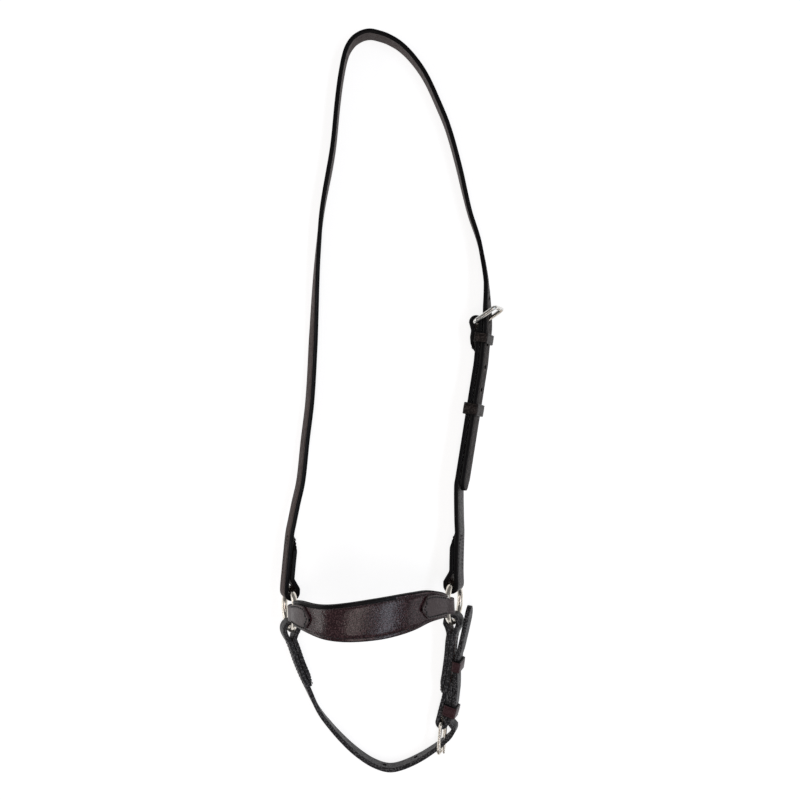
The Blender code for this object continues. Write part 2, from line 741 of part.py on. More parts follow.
def nose_layer(name, thickness, out, kit):
    """One layer of the nosepiece, widest in the middle."""
    start = RING_WIRE + SEAT + SEAT

    def placed(row, side):
        distance = start + (NOSE_LENGTH - 2 * start) * row / NOSE_ROWS
        half = NOSE_WIDTH / 2 * smooth_at(NOSE_WIDTH_SHARES, distance / NOSE_LENGTH)
        return nose_point(distance, out, side * half)

    thing, _ = bent_sheet(name, NOSE_ROWS, placed, kit, "nose")
    thicken(thing, thickness, NOSE_EDGE)
    return thing


def nose_tab(name, end, kit):
    """Tab that folds round a ring: its point lies on the nosepiece, its back leg under it."""
    bore = RING_RADIUS - RING_WIRE - SEAT
    fold = RING_WIRE + TAB_PLAY + TAB_THICKNESS / 2
    leg = SANDWICH / 2 + SEAT + TAB_THICKNESS / 2
    neck = share_at(TAB_OUTLINE_SHARES, 0)
    chord = math.sqrt(bore**2 - (neck * TAB_WIDTH / 2) ** 2)
    turn = chord + RING_WIRE + TAB_PLAY - RING_RADIUS
    bend = TAB_BEND_SHARE * TAB_LENGTH
    rows = []
    for share in TAB_ROW_SHARES:
        rows.append((share * TAB_LENGTH, leg, share_at(TAB_OUTLINE_SHARES, share)))
    rows.append((bend, (leg + fold) / 2, neck))
    for step in range(FOLD_STEPS + 1):
        angle = math.pi * step / FOLD_STEPS
        rows.append((turn - fold * math.sin(angle), fold * math.cos(angle), neck))
    rows.append((bend, -(leg + fold) / 2, neck))
    for share in reversed(TAB_ROW_SHARES):
        if share * TAB_LENGTH < TAB_BACK_LENGTH:
            rows.append((share * TAB_LENGTH, -leg, neck))
    rows.append((TAB_BACK_LENGTH, -leg, neck))

    def placed(row, side):
        distance, out, width_share = rows[row]
        where = distance if end < 0 else NOSE_LENGTH - distance
        return nose_point(where, out, side * width_share * TAB_WIDTH / 2)

    thing, _ = bent_sheet(name, len(rows) - 1, placed, kit, "tab")
    thicken(thing, TAB_THICKNESS, TAB_EDGE)
    return thing


# Rings


def ring(name, side, kit):
    """Ring of round wire, its lower edge on the table and its top leaning inward."""
    centre = (side * RING_SPREAD / 2, side * RING_SKEW / 2, RING_HEIGHT)
    turn = Matrix.Rotation(math.pi / 2 - side * STRAP_LEAN, 4, "Y")
    points = []
    for step in range(RING_STEPS):
        angle = 2 * math.pi * step / RING_STEPS
        points.append(RING_RADIUS * Vector((math.cos(angle), math.sin(angle), 0)))
    matrix = Matrix.Translation(centre) @ turn
    return wire_object(name, points, RING_WIRE, True, WIRE_STEPS, matrix, kit)


# Straps


def cheek_line():
    """Main line of the cheek strap, from the right ring up to the bar of the head buckle."""
    bar = plan(HEAD_BAR_SHARES)
    out = -HEAD_FOLD / 2 * left_face(bar, HEAD_BAR_HEADING)
    knots = [ring_start(1, 1, STRAP_WIDTH)]
    knots += [plan(shares, out.z) for shares in CHEEK_FOOT_SHARES]
    knots += straight_run(*[plan(shares, out.z) for shares in CHEEK_RUN_SHARES])
    knots += [plan(CHEEK_NECK_SHARES, out.z), bar + out]
    return smooth_line(knots, Vector((0, 1, 0)), HEAD_BAR_HEADING)


def cheek_strap(main, kit):
    """Short strap with a fold at the right ring and a fold round the bar."""
    tucked = FIXED_KEEPER_HEIGHT / 2 + KEEPER_LEAD
    spacings = (
        (0, HEAD_FOLD), (FIXED_KEEPER_DROP - tucked, TUCKED_LAYER),
        (FIXED_KEEPER_DROP + tucked, TUCKED_LAYER), (CHEEK_BUCKLE_LAP, SKIVED_LAYER),
    )
    foot = lap_back(main, ring_spacings(CHEEK_RING_LAP, HEAD_RING_FOLD), 1)
    top = lap_back(main[::-1], spacings, -1)
    thing = strap("cheek_strap", foot[::-1] + main + top, STRAP_WIDTH, kit, 0, (True, True))
    slot_frame = strap_axes(plan(HEAD_BAR_SHARES), HEAD_BAR_HEADING, STRAP_WIDTH)
    cut_slot(thing, slot_frame, HEAD_FOLD, kit)
    return thing


def headstrap_line(cheek):
    """Main line of the headstrap: left ring, top, head buckle and its end beside the cheek."""
    spacings = ((0, POINT_LAYER), (HEAD_POINT_REACH, POINT_LAYER))
    end = beside(cheek[::-1], spacings, 1, HEAD_POINT_START)
    knots = [ring_start(-1, 1, STRAP_WIDTH)]
    for shares in HEAD_LINE_SHARES:
        table, most = LEFT_LIFT_SHARES, knots[0].z
        if shares[0] > 0:
            table, most = RIGHT_LIFT_SHARES, end[0].z
        knots.append(plan(shares, most * share_at(table, shares[1])))
    line = smooth_line(knots + [end[0]], Vector((0, 1, 0)), heading_at(end, 0))
    return line + end[1:]


def headstrap(main, hole, kit):
    """Long strap, with the head buckle's holes."""
    lap = lap_back(main, ring_spacings(HEAD_RING_LAP, HEAD_RING_FOLD), -1)
    thing = strap("headstrap", lap[::-1] + main, STRAP_WIDTH, kit, STRAP_TIP, (True, False))
    punch_row(thing, main, STRAP_WIDTH, hole, HEAD_HOLE_PITCH, range(-2, 5), kit)
    return thing


def chin_piece_line():
    """Main line of the chin's buckle piece, from the right ring down to the chin bar."""
    bar = plan(CHIN_BAR_SHARES)
    inward = -CHIN_FOLD / 2 * left_face(bar, CHIN_BAR_HEADING)
    knots = [ring_start(1, -1, CHIN_WIDTH)] + [plan(shares) for shares in CHIN_PIECE_SHARES]
    knots += straight_run(plan(CHIN_NECK_SHARES, inward.z), bar + inward)
    return smooth_line(knots, Vector((0, -1, 0)), CHIN_BAR_HEADING)


def chin_lap_spacings():
    """Spacing of the chin buckle's lap: out of the lower keeper's way, then close, then skived."""
    tucked = CHIN_LOWER_KEEPER_HEIGHT / 2 + KEEPER_LEAD
    return (
        (0, CHIN_FOLD), (CHIN_LOWER_KEEPER_RISE - tucked, TUCKED_LAYER),
        (CHIN_LOWER_KEEPER_RISE + tucked, TUCKED_LAYER),
        (CHIN_BUCKLE_LAP - SKIVE_LENGTH, LAYER), (CHIN_BUCKLE_LAP, SKIVED_LAYER),
    )


def chin_buckle_piece(main, kit):
    """Short narrow strap with a fold at the right ring and a fold round the chin bar."""
    top = lap_back(main, ring_spacings(CHIN_PIECE_LAP, CHIN_RING_FOLD), -1)
    foot = lap_back(main[::-1], chin_lap_spacings(), -1)
    line = top[::-1] + main + foot
    thing = strap("chin_buckle_piece", line, CHIN_WIDTH, kit, 0, (True, True))
    slot_frame = strap_axes(plan(CHIN_BAR_SHARES), CHIN_BAR_HEADING, CHIN_WIDTH)
    cut_slot(thing, slot_frame, CHIN_FOLD, kit)
    return thing


def chin_strap_line(piece):
    """Main line of the chin strap: left ring, chin buckle, keepers and its free end."""
    spacings = tuple((distance, spacing + LAYER) for distance, spacing in chin_lap_spacings())
    upper = CHIN_UPPER_KEEPER_RISE - CHIN_UPPER_KEEPER_HEIGHT / 2
    lowest = spacings[-1][1] - STRAP_THICKNESS * (1 - SKIVE_SHARE) / 2
    spacings = spacings[:-1] + ((CHIN_BUCKLE_LAP, lowest), (upper, TUCKED_LAYER))
    spacings += ((CHIN_POINT_REACH, TUCKED_LAYER),)
    end = beside(piece[::-1], spacings, -1, CHIN_POINT_START)
    knots = [ring_start(-1, -1, CHIN_WIDTH)]
    for shares in CHIN_LINE_SHARES:
        table, most = LEFT_CHIN_LIFT_SHARES, knots[0].z
        if shares[0] > CHIN_LOW_SHARE:
            table, most = RIGHT_CHIN_LIFT_SHARES, end[0].z
        knots.append(plan(shares, most * share_at(table, -shares[1])))
    for across, up in CHIN_ENTRY_SHARES:
        knot = plan(CHIN_BAR_SHARES) + CHIN_BUCKLE_LENGTH * Vector((across, up, 0))
        knot.z = end[0].z * share_at(RIGHT_CHIN_LIFT_SHARES, -knot.y / CHIN_REACH)
        knots.append(knot)
    line = smooth_line(knots + [end[0]], Vector((0, -1, 0)), heading_at(end, 0))
    free = [end[-1]] + [plan(shares, end[-1].z) for shares in CHIN_END_SHARES]
    return line + end[1:-1] + smooth_line(free, heading_at(end, len(end) - 1))


def chin_strap(main, hole, kit):
    """Narrow strap with the chin buckle's holes."""
    lap = lap_back(main, ring_spacings(CHIN_RING_LAP, CHIN_RING_FOLD), 1)
    thing = strap("chin_strap", lap[::-1] + main, CHIN_WIDTH, kit, STRAP_TIP, (True, False))
    punch_row(thing, main, CHIN_WIDTH, hole, CHIN_HOLE_PITCH, range(-2, 2), kit)
    return thing


# Keepers, all with X out of the noseband


def head_keepers(cheek, kit):
    """Fixed keeper below the head buckle, and the runner that slides on the straight run."""
    down = cheek[::-1]
    far = POINT_LAYER + STRAP_THICKNESS / 2
    near = -STRAP_THICKNESS / 2
    place, heading = along(down, FIXED_KEEPER_DROP)
    frame = strap_axes(place, heading, STRAP_WIDTH)
    fixed = keeper(
        "head_fixed_keeper", frame, near - SEAT, far + SEAT, STRAP_WIDTH,
        (KEEPER_TUCK, SEAT), FIXED_KEEPER_HEIGHT, kit)
    place, heading = along(down, RUNNER_DROP)
    frame = strap_axes(place, heading, STRAP_WIDTH)
    runner = keeper(
        "head_runner", frame, near - RUNNER_PLAY, far + RUNNER_PLAY, STRAP_WIDTH,
        (KEEPER_WALL, RUNNER_PLAY), RUNNER_HEIGHT, kit)
    return fixed, runner


def chin_keepers(piece, kit):
    """Two fixed keepers above the chin buckle."""
    total = lengths_along(piece)[-1]
    half = STRAP_THICKNESS / 2
    place, heading = along(piece, total - CHIN_LOWER_KEEPER_RISE)
    frame = strap_axes(place, heading, CHIN_WIDTH)
    lower = keeper(
        "chin_lower_keeper", frame, TUCKED_LAYER - half - SEAT,
        TUCKED_LAYER + LAYER + half + SEAT, CHIN_WIDTH, (KEEPER_TUCK, SEAT),
        CHIN_LOWER_KEEPER_HEIGHT, kit)
    place, heading = along(piece, total - CHIN_UPPER_KEEPER_RISE)
    frame = strap_axes(place, heading, CHIN_WIDTH)
    upper = keeper(
        "chin_upper_keeper", frame, TUCKED_LAYER - half - SEAT, TUCKED_LAYER + half + SEAT,
        CHIN_WIDTH, (KEEPER_TUCK, SEAT), CHIN_UPPER_KEEPER_HEIGHT, kit)
    return upper, lower


# Whole noseband


def material(name, colour, roughness, metallic):
    """Plain surface."""
    surface = bpy.data.materials.new(name)
    surface.use_nodes = True
    shader = surface.node_tree.nodes["Principled BSDF"]
    shader.inputs["Base Color"].default_value = (*colour, 1)
    shader.inputs["Roughness"].default_value = roughness
    shader.inputs["Metallic"].default_value = metallic
    surface.diffuse_color = (*colour, 1)
    return surface


def make_kit():
    """Collections, materials and the empty that stands on the ring line."""
    for thing in list(bpy.data.objects):
        bpy.data.objects.remove(thing, do_unlink=True)
    kit = {
        "pieces": bpy.data.collections.new("drop_noseband"),
        "cutters": bpy.data.collections.new("drop_noseband_cutters"),
        "leather": material("bridle_leather", (0.030, 0.018, 0.016), 0.45, 0.0),
        "keeper": material("keeper_leather", (0.060, 0.020, 0.018), 0.50, 0.0),
        "nose": material("nosepiece_leather", (0.045, 0.022, 0.026), 0.40, 0.0),
        "tab": material("tab_leather", (0.070, 0.052, 0.046), 0.55, 0.0),
        "metal": material("nickel_plate", (0.72, 0.69, 0.64), 0.25, 1.0),
    }
    for key in ("pieces", "cutters"):
        bpy.context.scene.collection.children.link(kit[key])
    root = bpy.data.objects.new("ring_line", None)
    root.empty_display_size = RING_RADIUS
    root.location = (RING_LINE_X, RING_LINE_Y, 0)
    kit["pieces"].objects.link(root)
    kit["root"] = root
    return kit


def build():
    """Build every piece of the noseband."""
    kit = make_kit()
    cheek = cheek_line()
    head = headstrap_line(cheek)
    piece = chin_piece_line()
    chin = chin_strap_line(piece)
    head_bar = bar_axes(plan(HEAD_BAR_SHARES), STRAP_WIDTH, HEAD_BUCKLE_TURN, 1)
    chin_bar = bar_axes(plan(CHIN_BAR_SHARES), CHIN_WIDTH, CHIN_BUCKLE_TURN, -1)
    head_hole = tongue_crossing(
        head, STRAP_WIDTH, head_bar, HEAD_BUCKLE_LENGTH, HEAD_BUCKLE_WIRE)
    chin_hole = tongue_crossing(
        chin, CHIN_WIDTH, chin_bar, CHIN_BUCKLE_LENGTH, CHIN_BUCKLE_WIRE)

    headstrap(head, head_hole, kit)
    cheek_strap(cheek, kit)
    buckle(
        "head_buckle_frame", head_bar, HEAD_BUCKLE_LENGTH, HEAD_BUCKLE_WIDTH,
        HEAD_BUCKLE_WIRE, kit)
    tongue("head_tongue", head_bar, HEAD_BUCKLE_LENGTH, HEAD_BUCKLE_WIRE, kit)
    head_keepers(cheek, kit)
    ring("left_ring", -1, kit)
    ring("right_ring", 1, kit)

    middle = SANDWICH / 2
    nose = [
        nose_layer("nosepiece_outer", NOSE_FACE, middle - NOSE_FACE / 2, kit),
        nose_layer("nosepiece_lining", NOSE_LINING, NOSE_LINING / 2 - middle, kit),
        nose_tab("left_nose_tab", -1, kit),
        nose_tab("right_nose_tab", 1, kit),
    ]
    hang_from(nose, add_pivot("nosepiece_pivot", nose_frame(), kit))

    lower = [
        chin_strap(chin, chin_hole, kit),
        chin_buckle_piece(piece, kit),
        buckle(
            "chin_buckle_frame", chin_bar, CHIN_BUCKLE_LENGTH, CHIN_BUCKLE_WIDTH,
            CHIN_BUCKLE_WIRE, kit),
        tongue("chin_tongue", chin_bar, CHIN_BUCKLE_LENGTH, CHIN_BUCKLE_WIRE, kit),
    ]
    lower += chin_keepers(piece, kit)
    hang_from(lower, add_pivot("chin_pivot", nose_frame(), kit))


build()
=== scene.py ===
"""Looks of the drop noseband: leather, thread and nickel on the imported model.

The plan of the straps is repeated from the part's source, in metres, so that every
piece lies where its solid does. Places are worked out in the ring line's frame.
"""
import json
from math import atan2, ceil, cos, exp, hypot, inf, pi, radians, sin, sqrt, tan

import bmesh
import bpy
from mathutils import Matrix, Vector

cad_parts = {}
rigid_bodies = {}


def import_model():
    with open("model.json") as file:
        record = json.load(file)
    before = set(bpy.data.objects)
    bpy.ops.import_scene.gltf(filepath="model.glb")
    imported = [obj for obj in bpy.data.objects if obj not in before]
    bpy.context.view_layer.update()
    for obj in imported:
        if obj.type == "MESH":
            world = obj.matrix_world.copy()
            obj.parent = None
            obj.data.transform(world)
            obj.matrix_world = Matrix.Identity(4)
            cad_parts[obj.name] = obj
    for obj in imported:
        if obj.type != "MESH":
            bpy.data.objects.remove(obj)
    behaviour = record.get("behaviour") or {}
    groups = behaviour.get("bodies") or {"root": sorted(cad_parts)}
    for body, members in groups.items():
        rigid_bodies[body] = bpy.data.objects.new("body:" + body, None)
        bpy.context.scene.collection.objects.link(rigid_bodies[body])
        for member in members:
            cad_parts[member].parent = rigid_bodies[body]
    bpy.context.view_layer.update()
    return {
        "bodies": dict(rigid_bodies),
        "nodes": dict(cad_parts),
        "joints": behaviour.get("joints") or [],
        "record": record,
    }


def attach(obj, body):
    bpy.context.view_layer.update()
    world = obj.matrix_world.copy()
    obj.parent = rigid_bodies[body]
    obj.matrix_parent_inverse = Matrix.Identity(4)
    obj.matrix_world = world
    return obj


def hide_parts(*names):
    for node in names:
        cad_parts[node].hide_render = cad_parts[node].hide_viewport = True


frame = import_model()

# Driving sizes of the whole noseband
RING_SPREAD = 0.1389
RING_SKEW = 0.006
HEAD_REACH = 0.4887
CHIN_REACH = 0.1432
STRAP_LEAN = radians(23)

# Leather of the straps
STRAP_WIDTH = 0.016
CHIN_WIDTH = 0.012
THICKNESS = 0.0038
STRAP_TIP = 0.011
SKIVE_LENGTH = 0.012
SKIVE_SHARE = 0.45
HOLE_RADIUS = 0.0019
HEAD_HOLE_PITCH = 0.0195
CHIN_HOLE_PITCH = 0.030
HEAD_RING_LAP = 0.048
CHEEK_RING_LAP = 0.044
CHEEK_BUCKLE_LAP = 0.025
CHIN_RING_LAP = 0.056
CHIN_PIECE_LAP = 0.461 * CHIN_REACH
CHIN_BUCKLE_LAP = 0.3003 * CHIN_REACH
HEAD_POINT_START = 0.010
HEAD_POINT_REACH = 0.1455
CHIN_POINT_START = 0.0008
CHIN_POINT_REACH = 0.412 * CHIN_REACH

# Nosepiece and its end tabs
NOSE_WIDTH = 0.0322
NOSE_FACE = 0.0024
NOSE_LINING = 0.0020
NOSE_LEFT_SLOPE = radians(75)
NOSE_RIGHT_SLOPE = radians(53)
NOSE_TILT = radians(1.2)
TAB_WIDTH = 0.0186
TAB_THICKNESS = 0.0022
TAB_LENGTH = 0.032
TAB_BACK_LENGTH = 0.021

# Rings
RING_RADIUS = 0.017
RING_WIRE = 0.0025

# Buckles, each with a tongue on its bar
HEAD_BUCKLE_LENGTH = 0.0215
HEAD_BUCKLE_WIDTH = 0.0180
HEAD_BUCKLE_WIRE = 0.0019
HEAD_BUCKLE_TURN = radians(32.7)
CHIN_BUCKLE_LENGTH = 0.0260
CHIN_BUCKLE_WIDTH = 0.0140
CHIN_BUCKLE_WIRE = 0.0015
CHIN_BUCKLE_TURN = radians(-94.9)
BUCKLE_CORNER = 0.0030
TONGUE_WIRE = 0.0010
TONGUE_OVERHANG = 0.0022

# Keepers
KEEPER_WALL = 0.0017
KEEPER_TUCK = 0.0012
KEEPER_LEAD = 0.0015
FIXED_KEEPER_HEIGHT = 0.0085
FIXED_KEEPER_DROP = 0.0135
RUNNER_HEIGHT = 0.0100
RUNNER_DROP = 0.0745
LOWER_KEEPER_HEIGHT = 0.0100
LOWER_KEEPER_RISE = 0.0112
UPPER_KEEPER_HEIGHT = 0.0100
UPPER_KEEPER_RISE = 0.3596 * CHIN_REACH

# Clearances
SEAT = 0.0003
HEAD_RING_PLAY = 0.0005
CHIN_RING_PLAY = 0.0012
TAB_PLAY = 0.0016
POINT_PLAY = 0.0009
RUNNER_PLAY = 0.0005
HOLE_PLAY = 0.0008
CUT_OVERRUN = 0.002
PUNCH_REACH = 0.005

# Where the ring line lies, since the headpiece reaches further than the chin strap
RING_LINE_X = -0.122 * RING_SPREAD
RING_LINE_Y = -(HEAD_REACH - CHIN_REACH) / 2
RING_HEIGHT = RING_RADIUS * cos(STRAP_LEAN) + RING_WIRE

# Plan of the headpiece from the left ring over the top to the head buckle,
# across in shares of the ring spread and up in shares of the head reach
HEAD_LINE = (
    (-0.5248, 0.0532), (-0.5133, 0.0900), (-0.5011, 0.1248), (-0.4888, 0.1432),
    (-0.4680, 0.1739), (-0.4377, 0.2149), (-0.4132, 0.2857), (-0.3852, 0.3560),
    (-0.3647, 0.4616), (-0.3470, 0.5674), (-0.3330, 0.6237), (-0.3096, 0.6906),
    (-0.2448, 0.7952), (-0.2138, 0.8797), (-0.1908, 0.9282), (-0.1609, 0.9664),
    (-0.1217, 0.9857), (-0.0695, 0.9963), (-0.0151, 1.0000), (0.0410, 0.9971),
    (0.1015, 0.9910), (0.1764, 0.9781), (0.2534, 0.9562), (0.3305, 0.9247),
    (0.4078, 0.8782), (0.4705, 0.8340), (0.5324, 0.7720), (0.6033, 0.6875),
    (0.6587, 0.6378), (0.6836, 0.6026), (0.7012, 0.5674), (0.7063, 0.5402),
    (0.7070, 0.5144), (0.7090, 0.4983), (0.7090, 0.4829),
)

# Plan of the cheek strap: its foot at the ring, the straight run of the runner, its neck
CHEEK_FOOT = ((0.5306, 0.0593), (0.5328, 0.0941), (0.5364, 0.1269), (0.5335, 0.1535))
CHEEK_RUN = ((0.5330, 0.2087), (0.6530, 0.4195))
CHEEK_NECK = (0.6660, 0.4560)
HEAD_BAR = (0.6548, 0.4911)
HEAD_BAR_HEADING = Vector((0, 1, 0))

# Plan of the chin strap from the left ring to the chin buckle, and of its free end
CHIN_LINE = (
    (-0.4975, -0.2270), (-0.4560, -0.3534), (-0.3926, -0.5098), (-0.3308, -0.6425),
    (-0.2516, -0.7500), (-0.1587, -0.8520), (-0.0680, -0.9260), (0.0169, -0.9756),
    (0.1055, -1.0000), (0.1890, -0.9839),
)
CHIN_END = ((0.5454, -0.2584), (0.5655, -0.1676), (0.5871, -0.0698), (0.5986, 0.0))
CHIN_PIECE = ((0.5086, -0.1746), (0.4950, -0.3073), (0.4762, -0.4441))
CHIN_NECK = (0.4525, -0.5622)
CHIN_BAR = (0.4395, -0.7053)
CHIN_BAR_HEADING = Vector((-0.265, -0.964, 0)).normalized()
CHIN_LOW_SHARE = 0.1055

# Plan of the chin strap as it enters its buckle, from the bar in shares of the buckle's length
CHIN_ENTRY = (
    (-0.7538, -1.2426), (-0.2928, -0.9199), (0.0224, -0.6582), (0.2773, -0.4037),
    (0.3766, -0.1470),
)

# Where the chin bar is and how long its buckle is, in shares of the chin reach
CHIN_BAR_SHARE = -CHIN_BAR[1]
CHIN_BUCKLE_SHARE = CHIN_BUCKLE_LENGTH / CHIN_REACH

# Where along a straight run its inner knots lie, so that the run stays straight
RUN_KNOTS = (0.06, 0.94)

# Tables for the head and the chin, each for the left and the right half: how far the straps
# lean inward, as (share of the reach, share of the full lean)
LEANS = (
    (((0.46, 1.0), (0.53, 0.78), (0.67, 0.22), (0.755, 0.0)),
     ((0.505, 1.0), (0.56, 0.42), (0.60, 0.38), (0.745, 0.0))),
    (((0.46, 1.0), (0.90, 0.0)),
     ((0.12, 1.0), (0.64, 0.80), (CHIN_BAR_SHARE + 0.301 * CHIN_BUCKLE_SHARE, 0.76),
      (CHIN_BAR_SHARE + 1.348 * CHIN_BUCKLE_SHARE, 0.0))),
)

# How far they climb from the table to the rings, and to the bars of the buckles
RISES = (
    (((0.05, 1.0), (0.14, 0.84), (0.30, 0.16), (0.40, 0.0)), ((0.06, 1.0), (0.44, 0.0))),
    (((0.20, 1.0), (0.84, 0.0)), ((0.16, 1.0), (0.55, 0.0))),
)
BAR_RISES = (
    ((0.56, 1.0), (0.68, 0.0)),
    ((CHIN_BAR_SHARE + 0.742 * CHIN_BUCKLE_SHARE, 1.0),
     (CHIN_BAR_SHARE + 1.623 * CHIN_BUCKLE_SHARE, 0.0)),
)

# How they get from the outer side of their ring or bar back to the usual height
LIFTS = (
    (((0.04, 1.0), (0.16, 0.0)), ((0.52, 1.0), (0.62, 0.0))),
    (((0.12, 1.0), (0.50, 0.0)),
     ((CHIN_BAR_SHARE + 0.191 * CHIN_BUCKLE_SHARE, 0.85),
      (CHIN_BAR_SHARE + 0.687 * CHIN_BUCKLE_SHARE, 0.25),
      (CHIN_BAR_SHARE + 1.348 * CHIN_BUCKLE_SHARE, 0.0))),
)

# Outline of the nosepiece, as (share of its length, share of its width): how wide it is, and
# how far its middle runs off the line between the rings
NOSE_WIDTH_SHARES = (
    (0.0, 0.64), (0.10, 0.71), (0.20, 0.77), (0.30, 0.86), (0.40, 0.94), (0.52, 0.995),
    (0.62, 1.0), (0.74, 0.94), (0.86, 0.79), (1.0, 0.60),
)
NOSE_SWEEP = (
    (0.0, 0.0), (0.12, 0.04), (0.30, -0.035), (0.55, 0.005), (0.75, 0.085), (0.85, 0.13),
    (0.95, 0.075), (1.0, 0.0),
)

# Outline of a tab, as (share of its length, share of its half width)
TAB_OUTLINE = (
    (0.0, 0.70), (0.55, 0.98), (0.78, 1.0), (0.83, 0.95), (0.87, 0.78), (0.92, 0.54),
    (0.97, 0.28), (1.0, 0.12),
)
TAB_ROWS = (1.0, 0.97, 0.92, 0.87, 0.83, 0.69, 0.55, 0.42, 0.30, 0.18)
TAB_BEND_SHARE = 0.08
STRAP_TIP_SHARE = 0.28
TONGUE_HOLE_SHARE = 1.5

# Curve quality
SMOOTH_STEP = 0.0015
FOLD_STEPS = 10

# Sizes that several pieces share
LAYER = THICKNESS + SEAT
SKIVED_LAYER = THICKNESS * (1 + SKIVE_SHARE) / 2 + SEAT
TUCKED_LAYER = LAYER + KEEPER_TUCK + SEAT
POINT_LAYER = THICKNESS + POINT_PLAY
HEAD_RING_FOLD = 2 * (RING_WIRE + HEAD_RING_PLAY) + THICKNESS
CHIN_RING_FOLD = 2 * (RING_WIRE + CHIN_RING_PLAY) + THICKNESS
FOLD_OPEN = 1.2 * RING_WIRE
FOLD_CLOSED = FOLD_OPEN + 3.56 * RING_WIRE
HEAD_FOLD = 2 * (HEAD_BUCKLE_WIRE + SEAT) + THICKNESS
CHIN_FOLD = 2 * (CHIN_BUCKLE_WIRE + SEAT) + THICKNESS
SANDWICH = NOSE_FACE + SEAT + NOSE_LINING
NOSE_SPAN = hypot(RING_SPREAD, RING_SKEW) - 2 * RING_RADIUS * sin(STRAP_LEAN)
NOSE_RISE = NOSE_SPAN / (1 / tan(NOSE_LEFT_SLOPE / 2) + 1 / tan(NOSE_RIGHT_SLOPE / 2))
NOSE_LEFT_RADIUS = NOSE_RISE / (1 - cos(NOSE_LEFT_SLOPE))
NOSE_RIGHT_RADIUS = NOSE_RISE / (1 - cos(NOSE_RIGHT_SLOPE))
NOSE_CREST = NOSE_LEFT_RADIUS * NOSE_LEFT_SLOPE
NOSE_LENGTH = NOSE_CREST + NOSE_RIGHT_RADIUS * NOSE_RIGHT_SLOPE


# Lines of the straps and places on them


def plan(shares, lift=0):
    """Place from shares of the ring spread and of the reach up or down."""
    across, up = shares
    reach = HEAD_REACH if up > 0 else CHIN_REACH
    return Vector((across * RING_SPREAD, up * reach, lift))


def arc(start, turn, steps):
    """Cosine and sine of each step of a turn that begins at an angle."""
    angles = [start + turn * step / steps for step in range(steps + 1)]
    return [(cos(angle), sin(angle)) for angle in angles]


def share_at(table, place):
    """Value at a place in a table of (place, value) pairs."""
    if place <= table[0][0]:
        return table[0][1]
    for (start, before), (end, after) in zip(table, table[1:]):
        if place <= end:
            return before + (after - before) * (place - start) / (end - start)
    return table[-1][1]


def hermite(t, span, start, end, first, last):
    """Value at t from 0 to 1 over a span, from its ends and its slopes there."""
    value = (2 * t**3 - 3 * t**2 + 1) * start + (3 * t**2 - 2 * t**3) * end
    return value + (t**3 - 2 * t**2 + t) * span * first + (t**3 - t**2) * span * last


def smooth_at(table, place):
    """Value at a place on the smooth curve through a table."""
    knots = [Vector(pair) for pair in table]
    index = sum(1 for knot in knots[1:-1] if knot.x < place)
    start, end = knots[index], knots[index + 1]
    before, after = knots[max(index - 1, 0)], knots[min(index + 2, len(knots) - 1)]
    span = end.x - start.x
    t = min(max((place - start.x) / span, 0), 1)
    first = (end.y - before.y) / (end.x - before.x)
    last = (after.y - start.y) / (after.x - start.x)
    return hermite(t, span, start.y, end.y, first, last)


def heading_at(line, index):
    """Heading of a line at one of its points."""
    before = line[max(index - 1, 0)]
    after = line[min(index + 1, len(line) - 1)]
    return (after - before).normalized()


def lengths_along(line):
    """Distance from the start of a line to each of its points."""
    distances = [0]
    for start, end in zip(line, line[1:]):
        distances.append(distances[-1] + (end - start).length)
    return distances


def smooth_line(knots, first, last=None):
    """Close points on a smooth curve through the knots, with its headings at the ends."""
    headings = [first] + [heading_at(knots, index) for index in range(1, len(knots))]
    if last is not None:
        headings[-1] = last
    line = []
    for index in range(len(knots) - 1):
        start, end = knots[index], knots[index + 1]
        span = (end - start).length
        slopes = headings[index:index + 2]
        count = max(1, ceil(span / SMOOTH_STEP))
        line += [hermite(step / count, span, start, end, *slopes) for step in range(count)]
    line.append(knots[-1].copy())
    return line


def along(line, distance):
    """Place and heading at a distance along a line."""
    distances = lengths_along(line)
    index = min(sum(1 for passed in distances if passed < distance), len(line) - 1)
    start = max(index - 1, 0)
    heading = heading_at(line, index)
    return line[start] + (distance - distances[start]) * heading, heading


def half_of(place):
    """Where a place is: 0 head or 1 chin, 0 left or 1 right, and its share of the reach."""
    if place.y > 0:
        return 0, place.x > 0, place.y / HEAD_REACH
    return 1, place.x > CHIN_LOW_SHARE * RING_SPREAD, -place.y / CHIN_REACH


def lean_at(place):
    """Angle at which a strap leans, towards the middle of the noseband."""
    chin, right, share = half_of(place)
    return STRAP_LEAN * share_at(LEANS[chin][right], share)


def across_at(place):
    """Direction across a strap, from its lower edge to its upper edge."""
    lean = lean_at(place)
    side = -1 if half_of(place)[1] else 1
    return Vector((side * sin(lean), 0, cos(lean)))


def resting_height(width, lean):
    """Height of the middle of a leaning strap whose lower edge lies on the table."""
    return width / 2 * cos(lean) + THICKNESS / 2 * sin(lean)


def middle_height(place, width):
    """Height of the middle of a strap, which climbs to rings and buckles."""
    chin, right, share = half_of(place)
    near_ring = share_at(RISES[chin][right], share)
    height = resting_height(width, lean_at(place))
    height += (RING_HEIGHT - resting_height(width, STRAP_LEAN)) * near_ring
    if not right:
        return height
    bar, half, wire, droop = HEAD_BAR, HEAD_BUCKLE_WIDTH / 2, HEAD_BUCKLE_WIRE, 0
    if chin:
        bar, half, wire = CHIN_BAR, CHIN_BUCKLE_WIDTH / 2, CHIN_BUCKLE_WIRE
        droop = -CHIN_BUCKLE_LENGTH * cos(CHIN_BUCKLE_TURN)
    lean = lean_at(plan(bar))
    bar_height = (half + wire) * cos(lean) + wire + droop * sin(lean)
    climb = bar_height - resting_height(width, lean)
    return height + climb * share_at(BAR_RISES[chin], share) * (1 - near_ring)


